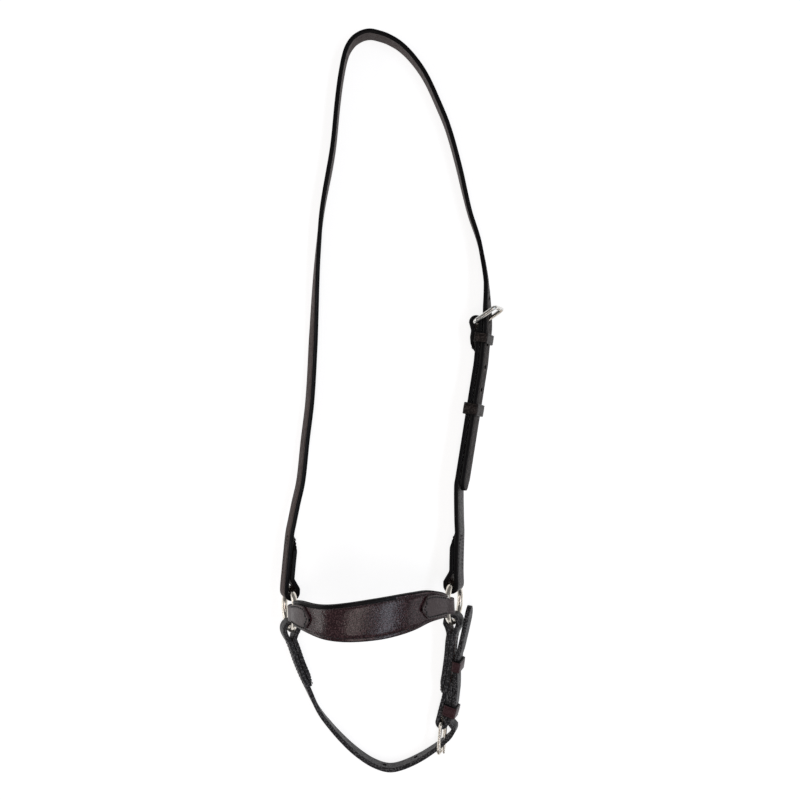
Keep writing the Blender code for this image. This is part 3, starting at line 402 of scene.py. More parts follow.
def standing_point(place, offset, width):
    """Point of a strap; offset runs across it from its middle."""
    middle = Vector((place.x, place.y, middle_height(place, width) + place.z))
    return middle + offset * across_at(place)


def strap_axes(place, heading, width):
    """Frame on a strap: X out of its left face, Y across it, Z along it."""
    step = heading * SMOOTH_STEP
    forward = standing_point(place + step, 0, width) - standing_point(place - step, 0, width)
    forward.normalize()
    across = across_at(place)
    across = (across - across.dot(forward) * forward).normalized()
    frame = Matrix((across.cross(forward), across, forward)).transposed().to_4x4()
    frame.translation = standing_point(place, 0, width)
    return frame


def left_face(place, heading):
    """Unit vector square out of the left face of a strap."""
    return across_at(place).cross(Vector((heading.x, heading.y, 0))).normalized()


def beside(line, spacings, side, start=0, easing=0):
    """Line beside another one: side is +1 for its left, spacings lists (distance, spacing).

    Over the length of the easing it keeps square to the first heading of the other line.
    """
    result = []
    first = heading_at(line, 0)
    for index, distance in enumerate(lengths_along(line)):
        if start <= distance <= spacings[-1][0]:
            eased = min(1, distance / easing) if easing else 1
            heading = first.lerp(heading_at(line, index), eased)
            spacing = side * share_at(spacings, distance)
            result.append(line[index] + spacing * left_face(line[index], heading))
    return result


def lap_back(main, spacings, side):
    """End of a strap that folds round a wire and laps back."""
    lap = beside(main, spacings, side, 0, spacings[2][0])
    middle = (main[0] + lap[0]) / 2
    arm = (main[0] - lap[0]) / 2
    depth = (main[0] - main[1]).normalized() * spacings[0][1] / 2
    turn = arc(0, pi, FOLD_STEPS)[1:-1]
    return [middle + cosine * arm + sine * depth for cosine, sine in turn] + lap


def ring_start(side, up, width):
    """Where a strap's main line leaves its fold at a ring, on the outer side."""
    bore = RING_RADIUS - RING_WIRE - SEAT
    fold = HEAD_RING_FOLD if up > 0 else CHIN_RING_FOLD
    reach = sqrt(bore**2 - (width / 2) ** 2) + (fold - THICKNESS) / 2
    centre = Vector((side * RING_SPREAD / 2, side * RING_SKEW / 2, 0))
    out = Vector((side * cos(STRAP_LEAN), 0, sin(STRAP_LEAN)))
    return centre + Vector((0, up * reach, 0)) + fold / 2 * out


def ring_spacings(length, fold):
    """Spacing of the two layers of a strap from its fold to its skived end."""
    return (
        (0, fold), (FOLD_OPEN, fold), (FOLD_CLOSED, LAYER),
        (length - SKIVE_LENGTH, LAYER), (length, SKIVED_LAYER),
    )


def straight_run(start, end):
    """Knots that keep a line straight from one place to another."""
    return [start] + [start.lerp(end, share) for share in RUN_KNOTS] + [end]


def rounded_rectangle(length, width, corner, steps):
    """Points of a rectangle with round corners, centred on zero."""
    points = []
    for quarter, (x, y) in enumerate(((1, 1), (-1, 1), (-1, -1), (1, -1))):
        centre = Vector((x * (length / 2 - corner), y * (width / 2 - corner), 0))
        for pair in arc(pi / 2 * quarter, pi / 2, steps):
            points.append(centre + corner * Vector(pair).to_3d())
    return points


def bar_axes(place, width, turn, up):
    """Frame on a buckle's bar: X towards its front, Y along the bar, Z out of its face."""
    across = across_at(place)
    ahead = Vector((0, 1, 0))
    out = ahead.cross(across)
    towards = cos(turn) * out + sin(turn) * ahead
    bar = up * across
    frame = Matrix((towards, bar, towards.cross(bar))).transposed().to_4x4()
    frame.translation = standing_point(place, 0, width)
    return frame


def tongue_crossing(line, width, frame, length, wire):
    """Distance along a strap at which the tongue goes through it, and a frame there."""
    rest = wire + SEAT + TONGUE_WIRE
    inverse = frame.inverted()
    best = (length, 0, 0)
    for place, distance in zip(line, lengths_along(line)):
        point = inverse @ standing_point(place, 0, width)
        if 0 < point.x < length:
            best = min(best, (hypot(point.y, point.z - rest), distance, point.x))
    return best[1], frame @ Matrix.Translation((best[2], 0, rest))


def nose_frame():
    """Frame on the ring line: X to the right ring, Z up through the nosepiece."""
    skew = Matrix.Rotation(atan2(RING_SKEW, RING_SPREAD), 4, "Z")
    return Matrix.Translation((0, 0, RING_HEIGHT)) @ skew


def nose_point(distance, out, across):
    """Point by its distance along the nosepiece, its height out of it and its place across.

    The nosepiece arches in two arcs that meet at its crest, the steeper one on the left.
    """
    side, slope, radius = 1, NOSE_RIGHT_SLOPE, NOSE_RIGHT_RADIUS
    if distance < NOSE_CREST:
        side, slope, radius = -1, NOSE_LEFT_SLOPE, NOSE_LEFT_RADIUS
    beyond = max(-distance, distance - NOSE_LENGTH, 0)
    angle = min(abs(distance - NOSE_CREST) / radius, slope)
    crest_x = NOSE_LEFT_RADIUS * sin(NOSE_LEFT_SLOPE) - NOSE_SPAN / 2
    crest_z = RING_RADIUS * cos(STRAP_LEAN) + NOSE_RISE
    x = crest_x + side * ((radius + out) * sin(angle) + beyond * cos(slope))
    z = crest_z - radius + (radius + out) * cos(angle) - beyond * sin(slope)
    y = across + NOSE_WIDTH * smooth_at(NOSE_SWEEP, distance / NOSE_LENGTH)
    tilt = Matrix.Rotation(-NOSE_TILT, 4, "X")
    return nose_frame() @ tilt @ Vector((x, y, z))


def cheek_line():
    """Main line of the cheek strap, from the right ring to the head buckle."""
    bar = plan(HEAD_BAR)
    out = -HEAD_FOLD / 2 * left_face(bar, HEAD_BAR_HEADING)
    knots = [ring_start(1, 1, STRAP_WIDTH)]
    knots += [plan(shares, out.z) for shares in CHEEK_FOOT]
    knots += straight_run(*[plan(shares, out.z) for shares in CHEEK_RUN])
    knots += [plan(CHEEK_NECK, out.z), bar + out]
    return smooth_line(knots, Vector((0, 1, 0)), HEAD_BAR_HEADING)


def lifted(table, left, right):
    """Places of a long strap's knots, from its full lift on the left and on the right."""
    knots = []
    for across, up in table:
        on_right = across > (0 if up > 0 else CHIN_LOW_SHARE)
        share = share_at(LIFTS[up < 0][on_right], abs(up))
        knots.append(plan((across, up), (right if on_right else left) * share))
    return knots


def headstrap_line(cheek):
    """Main line of the headstrap: left ring, top, head buckle, end beside the cheek."""
    spacings = ((0, POINT_LAYER), (HEAD_POINT_REACH, POINT_LAYER))
    end = beside(cheek[::-1], spacings, 1, HEAD_POINT_START)
    start = ring_start(-1, 1, STRAP_WIDTH)
    knots = [start] + lifted(HEAD_LINE, start.z, end[0].z)
    line = smooth_line(knots + [end[0]], Vector((0, 1, 0)), heading_at(end, 0))
    return line + end[1:]


def chin_piece_line():
    """Main line of the chin's buckle piece, from the right ring to the chin buckle."""
    bar = plan(CHIN_BAR)
    inward = -CHIN_FOLD / 2 * left_face(bar, CHIN_BAR_HEADING)
    knots = [ring_start(1, -1, CHIN_WIDTH)] + [plan(shares) for shares in CHIN_PIECE]
    knots += straight_run(plan(CHIN_NECK, inward.z), bar + inward)
    return smooth_line(knots, Vector((0, -1, 0)), CHIN_BAR_HEADING)


def chin_lap_spacings():
    """Spacing of the chin buckle's lap, which gives way to the lower keeper."""
    tucked = LOWER_KEEPER_HEIGHT / 2 + KEEPER_LEAD
    return (
        (0, CHIN_FOLD), (LOWER_KEEPER_RISE - tucked, TUCKED_LAYER),
        (LOWER_KEEPER_RISE + tucked, TUCKED_LAYER),
        (CHIN_BUCKLE_LAP - SKIVE_LENGTH, LAYER), (CHIN_BUCKLE_LAP, SKIVED_LAYER),
    )


def chin_strap_line(piece):
    """Main line of the chin strap: left ring, chin buckle, keepers and its free end."""
    spacings = tuple((distance, spacing + LAYER) for distance, spacing in chin_lap_spacings())
    upper = UPPER_KEEPER_RISE - UPPER_KEEPER_HEIGHT / 2
    lowest = spacings[-1][1] - THICKNESS * (1 - SKIVE_SHARE) / 2
    spacings = spacings[:-1] + ((CHIN_BUCKLE_LAP, lowest), (upper, TUCKED_LAYER))
    spacings += ((CHIN_POINT_REACH, TUCKED_LAYER),)
    end = beside(piece[::-1], spacings, -1, CHIN_POINT_START)
    start = ring_start(-1, -1, CHIN_WIDTH)
    knots = [start] + lifted(CHIN_LINE, start.z, end[0].z)
    for across, up in CHIN_ENTRY:
        knot = plan(CHIN_BAR) + CHIN_BUCKLE_LENGTH * Vector((across, up, 0))
        knot.z = end[0].z * share_at(LIFTS[1][1], -knot.y / CHIN_REACH)
        knots.append(knot)
    line = smooth_line(knots + [end[0]], Vector((0, -1, 0)), heading_at(end, 0))
    free = [end[-1]] + [plan(shares, end[-1].z) for shares in CHIN_END]
    return line + end[1:-1] + smooth_line(free, heading_at(end, len(end) - 1))


# Sizes of the visible detail
SHIFT = Vector((RING_LINE_X, RING_LINE_Y, 0))
FINE_FOLD_STEPS = 28
EDGE_ROUND = 0.0009
EDGE_STEPS = 5
CREASE_INSET = 0.0017
CREASE_HALF = 0.00028
CREASE_DEPTH = 0.00022
TAB_CREASE_DEPTH = 0.00015
TAB_CREASE_SIDES = (1, 2, 7, 8, 22, 23, 28, 29)
TIP_STEP = 0.0006
POINT_LENGTH = 0.011
POINT_SHARE = 0.22
HOLE_SEGMENTS = 28
FACE_OUT, FACE_BACK, EDGE = 0, 1, 2

# Stitches: how far in they lie and how they repeat, and (pitch, slant, radius) of the finer ones
STITCH_INSET = 0.0026
STITCH_PITCH = 0.0032
STITCH_GAP = 0.0006
STITCH_RADIUS = 0.00030
STITCH_STEPS = 6
NOSE_STITCH = (0.0030, 0.10, 0.00042)
TAB_STITCH = (0.0026, 0.06, 0.00072)
TAB_BACK_STITCH = (0.0027, 0.15)
LAP_STITCH_START = 0.62 * RING_RADIUS
LAP_STITCH_END = 0.001
TAB_STITCH_INSET = 0.0015
TAB_STITCH_SPAN = (0.16, 0.98)
TAB_BACK_SPAN = (0.20, 0.88)
NOSE_STITCH_INSET = 0.0030
NOSE_STITCH_SUNK = 0.00022

# Face of the nosepiece
NOSE_CROWN = 0.0009
NOSE_GROOVE = 0.00045
NOSE_GROOVE_DEPTH = 0.00028
NOSE_GROOVE_LIP = 0.00010
NOSE_CROWN_START = 0.12
NOSE_FACE_ROWS = 110
NOSE_BACK_ROWS = 90
NOSE_MARGIN_END = 0.66
NOSE_MARGIN_SIDES = (13, 14, 15, 16)
NOSE_KINDS = [FACE_OUT] * 16 + [EDGE] * 8 + [FACE_BACK] * 5 + [EDGE] * 8
KEEPER_KINDS = [FACE_OUT] * 8 + [EDGE] * 8 + [FACE_BACK] * 2 + [EDGE] * 8

# Camera, whose lens is given by its focal length in pixels
CAMERA_PLACE = (0.0070, 0.00125, 0.730)
FOCAL_PIXELS = 839
IMAGE_PIXELS = 800
SENSOR_WIDTH = 36


# Surfaces


def fill(node, inputs):
    """Give inputs of a node their values, or links from other nodes."""
    for name, value in inputs.items():
        socket = node.inputs[name]
        if isinstance(value, bpy.types.NodeSocket):
            node.id_data.links.new(value, socket)
        else:
            socket.default_value = (*value, 1) if socket.type == "RGBA" else value


def node_of(tree, kind, output, inputs, **settings):
    """Output of a new shader node."""
    node = tree.nodes.new("ShaderNode" + kind)
    for name, value in settings.items():
        setattr(node, name, value)
    fill(node, inputs)
    return node.outputs[output]


def surface(name, colour, roughness, metallic=0.0):
    """Material, its shader and coordinates in metres."""
    made = bpy.data.materials.new(name)
    made.use_nodes = True
    made.diffuse_color = (*colour, 1)
    shader = made.node_tree.nodes["Principled BSDF"]
    fill(shader, {"Base Color": colour, "Roughness": roughness, "Metallic": metallic})
    return made, shader, node_of(made.node_tree, "TexCoord", "Object", {})


def noise(place, scale, detail, output="Fac"):
    """Soft noise from 0 to 1."""
    inputs = {"Vector": place, "Scale": scale, "Detail": detail}
    return node_of(place.id_data, "TexNoise", output, inputs)


def spread(source, low, high, to_low, to_high):
    """Value taken from one range to another."""
    return node_of(source.id_data, "MapRange", "Result", {
        "Value": source, "From Min": low, "From Max": high, "To Min": to_low, "To Max": to_high})


def blended(share, first, second):
    """Colour between two colours."""
    inputs = {"Factor": share, "A": first, "B": second}
    return node_of(share.id_data, "Mix", "Result", inputs, data_type="RGBA")


def raised(height, strength, distance, below=None):
    """Bump from a height, on top of another bump if there is one."""
    inputs = {"Strength": strength, "Distance": distance, "Height": height}
    if below is not None:
        inputs["Normal"] = below
    return node_of(height.id_data, "Bump", "Normal", inputs)


def leather(
        name, dark, light, worn, roughness, grain, strength, coat=0.0, sparkle=0.0, gloss=0.35,
        flecks=0.5, shade_fade=0.0):
    """Leather: pebbled grain, blotches of colour, fine pores, paler worn edges, and painted shade
    towards the top and the right.
    """
    made, shader, place = surface(name, dark, roughness)
    tree = made.node_tree
    blotch = spread(noise(place, 45, 4), 0.35, 0.65, 0, 1)
    speck = spread(noise(place, 2600, 2), 0.35, 0.75, 0, 0.55)
    colour = blended(speck, blended(blotch, dark, light), light)
    # Painted shade: the colour darkens towards the right and towards the top of the noseband, by
    # the share given
    for axis, near, far in (("X", -0.02, 0.04), ("Y", 0.11, 0.20)):
        part = node_of(tree, "SeparateXYZ", axis, {"Vector": place})
        colour = blended(spread(part, near, far, 0, shade_fade), colour, PAINTED_SHADE)
    colour = blended(spread(noise(place, 760, 1), 0.52, 0.60, 0, flecks), colour, worn)
    edge = node_of(tree, "NewGeometry", "Pointiness", {})
    colour = blended(spread(edge, 0.53, 0.62, 0, 0.7), colour, worn)
    wander = noise(place, grain * 0.6, 2, "Color")
    shrunk = node_of(tree, "VectorMath", 0, {0: wander, "Scale": 0.5 / grain}, operation="SCALE")
    warp = node_of(tree, "VectorMath", 0, {0: place, 1: shrunk}, operation="ADD")
    cells = node_of(
        tree, "TexVoronoi", "Distance", {"Scale": grain, "Vector": warp},
        feature="DISTANCE_TO_EDGE")
    normal = raised(noise(place, 160, 3), 0.25, 0.0006)
    normal = raised(noise(place, 3400, 2), strength * 0.5, 0.00008, normal)
    normal = raised(spread(cells, 0, 0.18, 0, 1), strength, 0.00010, normal)
    if sparkle:
        normal = raised(noise(place, 540, 1), sparkle, 0.00045, normal)
    rough = spread(noise(place, 240, 3), 0.3, 0.7, roughness - 0.06, roughness + 0.06)
    fill(shader, {
        "Base Color": colour, "Normal": normal, "Roughness": rough, "Coat Weight": coat,
        "Coat Roughness": 0.17, "Specular IOR Level": gloss})
    return made


def edge_paint(name, colour):
    """Black edge paint: smooth, with shallow ripples along the edge and small scuffs."""
    made, shader, place = surface(name, colour, 0.34)
    scuff = spread(noise(place, 900, 4), 0.58, 0.75, 0, 0.5)
    fill(shader, {
        "Base Color": blended(scuff, colour, (0.030, 0.026, 0.027)),
        "Normal": raised(noise(place, 420, 3), 0.35, 0.00035),
        "Roughness": spread(noise(place, 350, 2), 0.3, 0.7, 0.26, 0.46),
        "Specular IOR Level": 0.10})
    return made


def thread(name, colour):
    """Waxed thread with its twist."""
    made, shader, place = surface(name, colour, 0.42)
    twist = node_of(
        made.node_tree, "TexWave", "Fac", {"Scale": 1100, "Distortion": 1.5, "Vector": place},
        bands_direction="DIAGONAL")
    paler = tuple(2.2 * part + 0.01 for part in colour)
    fill(shader, {
        "Base Color": blended(twist, colour, paler), "Normal": raised(twist, 0.6, 0.00012)})
    return made


def nickel(name, colour):
    """Nickel plate with fine scratches, soft dents and a little tarnish."""
    made, shader, place = surface(name, colour, 0.2, 1.0)
    tarnish = spread(noise(place, 120, 4), 0.45, 0.75, 0, 0.6)
    stretch = node_of(made.node_tree, "Mapping", "Vector", {"Scale": (1, 9, 3), "Vector": place})
    scratch = noise(stretch, 1500, 3)
    dents = raised(noise(place, 260, 2), 0.3, 0.0003)
    fill(shader, {
        "Base Color": blended(tarnish, colour, (0.50, 0.44, 0.36)),
        "Normal": raised(scratch, 0.12, 0.00005, dents),
        "Roughness": spread(scratch, 0.3, 0.7, 0.13, 0.30)})
    return made


# Each leather: its dark, light and worn colour, roughness, grains in a metre, depth of grain
# Colour of the painted shade that a leather darkens towards
PAINTED_SHADE = (0.0060, 0.0048, 0.0048)
GRAIN = leather(
    "bridle_grain", (0.0065, 0.0050, 0.0050), (0.016, 0.0125, 0.0125), (0.150, 0.134, 0.132),
    0.36, 1500, 0.30, sparkle=0.60, gloss=0.14, flecks=0.46)
# The headstrap's grain carries painted shade, darker towards the top and the right
HEAD_GRAIN = leather(
    "bridle_grain_warm", (0.0300, 0.0155, 0.0135), (0.054, 0.0300, 0.0265), (0.130, 0.090, 0.080),
    0.46, 1500, 0.30, sparkle=0.45, gloss=0.06, flecks=0.34, shade_fade=0.92)
FLESH = leather(
    "bridle_flesh", (0.024, 0.0120, 0.0112), (0.040, 0.0205, 0.0190), (0.075, 0.050, 0.044),
    0.62, 2400, 0.45)
NOSE = leather(
    "nosepiece_grain", (0.0140, 0.0026, 0.0046), (0.024, 0.0060, 0.0092), (0.140, 0.076, 0.080),
    0.17, 1100, 0.25, coat=0.16, sparkle=0.55, gloss=0.42, flecks=0.44)
LINING = leather(
    "nosepiece_soft", (0.035, 0.022, 0.020), (0.055, 0.036, 0.032), (0.08, 0.06, 0.05),
    0.60, 1700, 0.35)
TAB = leather(
    "tab_grain", (0.045, 0.031, 0.033), (0.072, 0.052, 0.053), (0.15, 0.118, 0.118),
    0.42, 1300, 0.35, coat=0.10, sparkle=0.70, gloss=0.4, flecks=0.35)
KEEPER = leather(
    "keeper_grain", (0.026, 0.0080, 0.0105), (0.044, 0.0150, 0.0185), (0.09, 0.046, 0.050),
    0.40, 1500, 0.35, sparkle=0.40, gloss=0.22, flecks=0.4)
DARK_KEEPER = leather(
    "keeper_grain_dark", (0.0050, 0.0036, 0.0034), (0.011, 0.0078, 0.0072), (0.100, 0.080, 0.072),
    0.42, 1500, 0.35, sparkle=0.50, gloss=0.14, flecks=0.38)
COOL = leather(
    "bridle_grain_cool", (0.014, 0.0135, 0.0150), (0.032, 0.0310, 0.0330), (0.18, 0.172, 0.176),
    0.46, 1700, 0.35, sparkle=0.50, gloss=0.2, flecks=0.42)
CHIN_EDGE = leather(
    "chin_edge", (0.0080, 0.0078, 0.0085), (0.020, 0.0195, 0.0210), (0.19, 0.184, 0.190),
    0.40, 1500, 0.30, sparkle=0.28, gloss=0.16, flecks=0.46)
PAINT = edge_paint("edge_paint", (0.0045, 0.0042, 0.0048))
DARK_THREAD = thread("dark_thread", (0.016, 0.015, 0.017))
BLACK_THREAD = thread("black_thread", (0.0025, 0.0025, 0.0030))
WARM_THREAD = thread("warm_thread", (0.060, 0.028, 0.024))
NICKEL = nickel("nickel_plate_worn", (0.80, 0.755, 0.68))
PALE_NICKEL = nickel("nickel_plate_pale", (0.70, 0.695, 0.67))


# Building blocks


def add_thing(name, content):
    """New object in the scene."""
    thing = bpy.data.objects.new(name, content)
    bpy.context.scene.collection.objects.link(thing)
    return thing


def thing_of(name, shape, surfaces):
    """Object whose mesh is made from a shape."""
    mesh = bpy.data.meshes.new(name)
    shape.to_mesh(mesh)
    shape.free()
    for made in surfaces:
        mesh.materials.append(made)
    return add_thing(name, mesh)


def add_piece(name, shape, surfaces, body, nodes=()):
    """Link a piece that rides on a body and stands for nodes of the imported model."""
    bmesh.ops.recalc_face_normals(shape, faces=shape.faces)
    thing = thing_of(name, shape, surfaces)
    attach(thing, body)
    if nodes:
        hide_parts(*nodes)
    return thing


def skin(shape, sections, kinds, cap=EDGE, closed=False):
    """Add a surface through rings of points; kinds(strip, side) picks each face's material."""
    rings = [[shape.verts.new(point + SHIFT) for point in section] for section in sections]
    following = rings[1:] + rings[:1] if closed else rings[1:]
    count = len(rings[0])
    for strip, (near, far) in enumerate(zip(rings, following)):
        for side in range(count):
            after = (side + 1) % count
            face = shape.faces.new((near[side], near[after], far[after], far[side]))
            face.material_index = kinds(strip, side)
            face.smooth = True
    if not closed:
        for ends in (rings[0][::-1], rings[-1]):
            face = shape.faces.new(ends)
            face.material_index = cap
            for edge in face.edges:
                edge.smooth = False
    return shape


def band_profile(half, thick, crease_out, crease_back):
    """Cross-section of a band: (across, out, kind of the side that starts there)."""
    rounding = min(EDGE_ROUND, 0.46 * thick)
    flat = half - rounding
    top = thick / 2
    line = half - CREASE_INSET
    quarter = pi / 2
    points = []
    for sign, depth, kind in ((1, crease_out, FACE_OUT), (-1, crease_back, FACE_BACK)):
        right = [(flat / 2, 0), (line - CREASE_HALF, 0), (line, depth), (line + CREASE_HALF, 0)]
        left = [(-flat, 0)] + [(-across, down) for across, down in right[::-1]]
        for across, down in left + [(0, 0)] + right:
            points.append((sign * across, sign * (top - down), kind))
        turns = [(1, pair) for pair in arc(quarter, -quarter, EDGE_STEPS)]
        turns += [(-1, pair) for pair in arc(0, -quarter, EDGE_STEPS)[1:]]
        for end, (cosine, sine) in turns:
            out = end * (top - rounding) + rounding * sine
            points.append((sign * (flat + rounding * cosine), sign * out, EDGE))
    return points


def point_on(line, distances, distance):
    """Place at a distance along a line, straight between its points."""
    index = 1
    while index < len(line) - 1 and distances[index] < distance:
        index += 1
    span = distances[index] - distances[index - 1]
    share = (distance - distances[index - 1]) / span if span else 0
    return line[index - 1].lerp(line[index], min(max(share, 0), 1))


def finer_ends(line, first, last):
    """Line with closer points over its first and last stretch, and none on another."""
    distances = lengths_along(line)
    end = distances[-1] - last
    count = ceil(first / TIP_STEP)
    points = [point_on(line, distances, first * step / count) for step in range(count)]
    points += [point for point, distance in zip(line, distances) if first <= distance <= end]
    count = ceil(last / TIP_STEP)
    for step in range(1, count + 1):
        points.append(point_on(line, distances, end + last * step / count))
    kept = points[:1]
    for point in points[1:]:
        if (point - kept[-1]).length > TIP_STEP / 4:
            kept.append(point)
    return kept


def band(line, width, tip, pointed, swap, creases):
    """Strap along a line: round at its tip, or pointed and skived at the ends that say so.

    From the distance swap on, its grain lies on the other face.
    """
    first = SKIVE_LENGTH if pointed[0] else 0
    last = tip if tip else (SKIVE_LENGTH if pointed[1] else 0)
    line = finer_ends(line, first, last)
    middles = [standing_point(place, 0, width) for place in line]
    distances = lengths_along(line)
    sections = []
    profile = band_profile(width / 2, THICKNESS, *creases)
    for index, distance in enumerate(distances):
        heading = heading_at(middles, index)
        across = across_at(line[index])
        across = (across - across.dot(heading) * heading).normalized()
        out = across.cross(heading).normalized()
        left = distances[-1] - distance
        share, thick = 1, 1
        if tip and left < tip:
            share = max(STRAP_TIP_SHARE, sqrt(max(0, 1 - (1 - left / tip) ** 2)))
        for is_pointed, from_end in zip(pointed, (distance, left)):
            if is_pointed:
                grown = min(1, from_end / POINT_LENGTH)
                share = min(share, POINT_SHARE + (1 - POINT_SHARE) * grown)
                grown = min(1, from_end / SKIVE_LENGTH)
                thick = min(thick, SKIVE_SHARE + (1 - SKIVE_SHARE) * grown)
        sections.append([
            middles[index] + share * across_by * across + thick * out_by * out
            for across_by, out_by, _ in profile])

    def kinds(strip, side):
        kind = profile[side][2]
        if kind != EDGE and distances[strip] > swap:
            return FACE_BACK if kind == FACE_OUT else FACE_OUT
        return kind

    return skin(bmesh.new(), sections, kinds)


def tube(points, radii, closed, sides, up):
    """Round wire along points, with a radius at each."""
    sections = []
    count = len(points)
    for index, point in enumerate(points):
        heading = heading_at(points, index)
        if closed:
            heading = (points[(index + 1) % count] - points[index - 1]).normalized()
        normal = (up - up.dot(heading) * heading).normalized()
        other = heading.cross(normal)
        sections.append([
            point + radii[index] * (cosine * other + sine * normal)
            for cosine, sine in arc(0, 2 * pi, sides)[:-1]])
    return skin(bmesh.new(), sections, lambda strip, side: 0, 0, closed)


def cut(thing, shape, matrix):
    """Cut a shape out of a piece, at the place that the matrix takes it to."""
    bmesh.ops.transform(shape, matrix=Matrix.Translation(SHIFT) @ matrix, verts=shape.verts)
    for face in shape.faces:
        face.material_index = EDGE
    tool = thing_of("opening", shape, thing.data.materials)
    opening = thing.modifiers.new("opening", "BOOLEAN")
    opening.operation = "DIFFERENCE"
    opening.solver = "EXACT"
    opening.object = tool
    bpy.context.view_layer.update()
    graph = bpy.context.evaluated_depsgraph_get()
    mesh = bpy.data.meshes.new_from_object(thing.evaluated_get(graph))
    thing.modifiers.clear()
    old = thing.data
    thing.data = mesh
    mesh.name = thing.name
    bpy.data.meshes.remove(old)
    bpy.data.objects.remove(tool, do_unlink=True)


def cut_hole(thing, axes, stretch):
    """Punch a round hole along X of the axes, stretched along the strap."""
    shape = bmesh.new()
    bmesh.ops.create_cone(
        shape, cap_ends=True, segments=HOLE_SEGMENTS, radius1=HOLE_RADIUS, radius2=HOLE_RADIUS,
        depth=THICKNESS + 2 * PUNCH_REACH)
    bmesh.ops.transform(shape, matrix=Matrix.Rotation(pi / 2, 4, "Y"), verts=shape.verts)
    bmesh.ops.scale(shape, vec=(1, 1, stretch), verts=shape.verts)
    cut(thing, shape, axes)


def cut_slot(thing, place, heading, width, fold):
    """Cut the tongue's slot in the fold round a buckle's bar."""
    shape = bmesh.new()
    bmesh.ops.create_cube(shape, size=1)
    reach = fold + THICKNESS + CUT_OVERRUN
    size = (reach, 2 * (TONGUE_WIRE + HOLE_PLAY), reach)
    bmesh.ops.scale(shape, vec=size, verts=shape.verts)
    cut(thing, shape, strap_axes(place, heading, width))


# Stitches


def sew(shape, path, pitch=STITCH_PITCH, slant=0.22, thick=STITCH_RADIUS):
    """Stitches along a path of (point, direction out of the leather)."""
    distances = lengths_along([point for point, _ in path])
    count = int(distances[-1] / pitch)
    start = (distances[-1] - count * pitch) / 2
    index = 1
    for number in range(count):
        middle = start + (number + 0.5) * pitch
        while index < len(path) - 1 and distances[index] < middle:
            index += 1
        (near, near_out), (far, far_out) = path[index - 1], path[index]
        span = max(distances[index] - distances[index - 1], 1e-9)
        share = (middle - distances[index - 1]) / span
        out = near_out.lerp(far_out, share).normalized()
        along_path = (far - near).normalized()
        heading = (along_path + slant * out.cross(along_path).normalized()).normalized()
        across = out.cross(heading).normalized()
        add_stitch(shape, near.lerp(far, share), heading, across, out, pitch - STITCH_GAP, thick)


def add_stitch(shape, centre, heading, across, out, length, thick):
    """One stitch, its ends sunk into the leather."""
    sections = []
    for step in range(STITCH_STEPS + 1):
        place = 2 * step / STITCH_STEPS - 1
        radius = thick * max(0.45, sqrt(1 - (place * 0.93) ** 2))
        rise = STITCH_RADIUS * (0.55 - 1.3 * place**4)
        middle = centre + place * length / 2 * heading + rise * out
        sections.append([
            middle + radius * (cosine * across + sine * out)
            for cosine, sine in arc(0, 2 * pi, 8)[:-1]])
    skin(shape, sections, lambda strip, side: 0, 0)


def sew_lap(shape, line, width, start, stop, side):
    """Two rows of stitches on a face of a lap, which meet in a point at its end.

    The side is +1 for the left face of the line and -1 for its right face.
    """
    count = max(2, ceil(abs(stop - start) / TIP_STEP / 3))
    for sign in (-1, 1):
        path = []
        for step in range(count + 1):
            distance = start + (stop - start) * step / count
            axes = strap_axes(*along(line, distance), width)
            narrowing = min(1, max(0, (stop - distance) / POINT_LENGTH))
            offset = sign * (width / 2 - STITCH_INSET) * narrowing
            out = side * axes.col[0].xyz
            point = axes.translation + offset * axes.col[1].xyz + THICKNESS / 2 * out
            path.append((point, out))
        sew(shape, path)


def sew_ring_lap(main, width, length, fold, side):
    """Stitches through both layers of the lap at a ring, which lies on a side of the line."""
    shape = bmesh.new()
    sew_lap(shape, main, width, LAP_STITCH_START, length, -side)
    inner = beside(main, ring_spacings(length, fold), side, 0, RING_RADIUS)
    sew_lap(shape, inner, width, LAP_STITCH_START, length - LAP_STITCH_END, side)
    return shape


# Straps


def build_long_strap(name, body, surfaces, main, width, lap, fold, side, hole, steps, pitch):
    """Strap with a lap at its ring, its holes and a round free end."""
    back = lap_back(main, ring_spacings(lap, fold), side)
    creases = (CREASE_DEPTH, 0) if side < 0 else (0, CREASE_DEPTH)
    shape = band(back[::-1] + main, width, STRAP_TIP, (True, False), inf, creases)
    thing = add_piece(f"{name}_leather", shape, surfaces, body, [name])
    first, tongue_axes = hole
    for step in steps:
        if step:
            cut_hole(thing, strap_axes(*along(main, first + step * pitch), width), 1)
        else:
            cut_hole(thing, tongue_axes, TONGUE_HOLE_SHARE)
    stitches = sew_ring_lap(main, width, lap, fold, side)
    add_piece(f"{name}_stitches", stitches, (DARK_THREAD,), body)


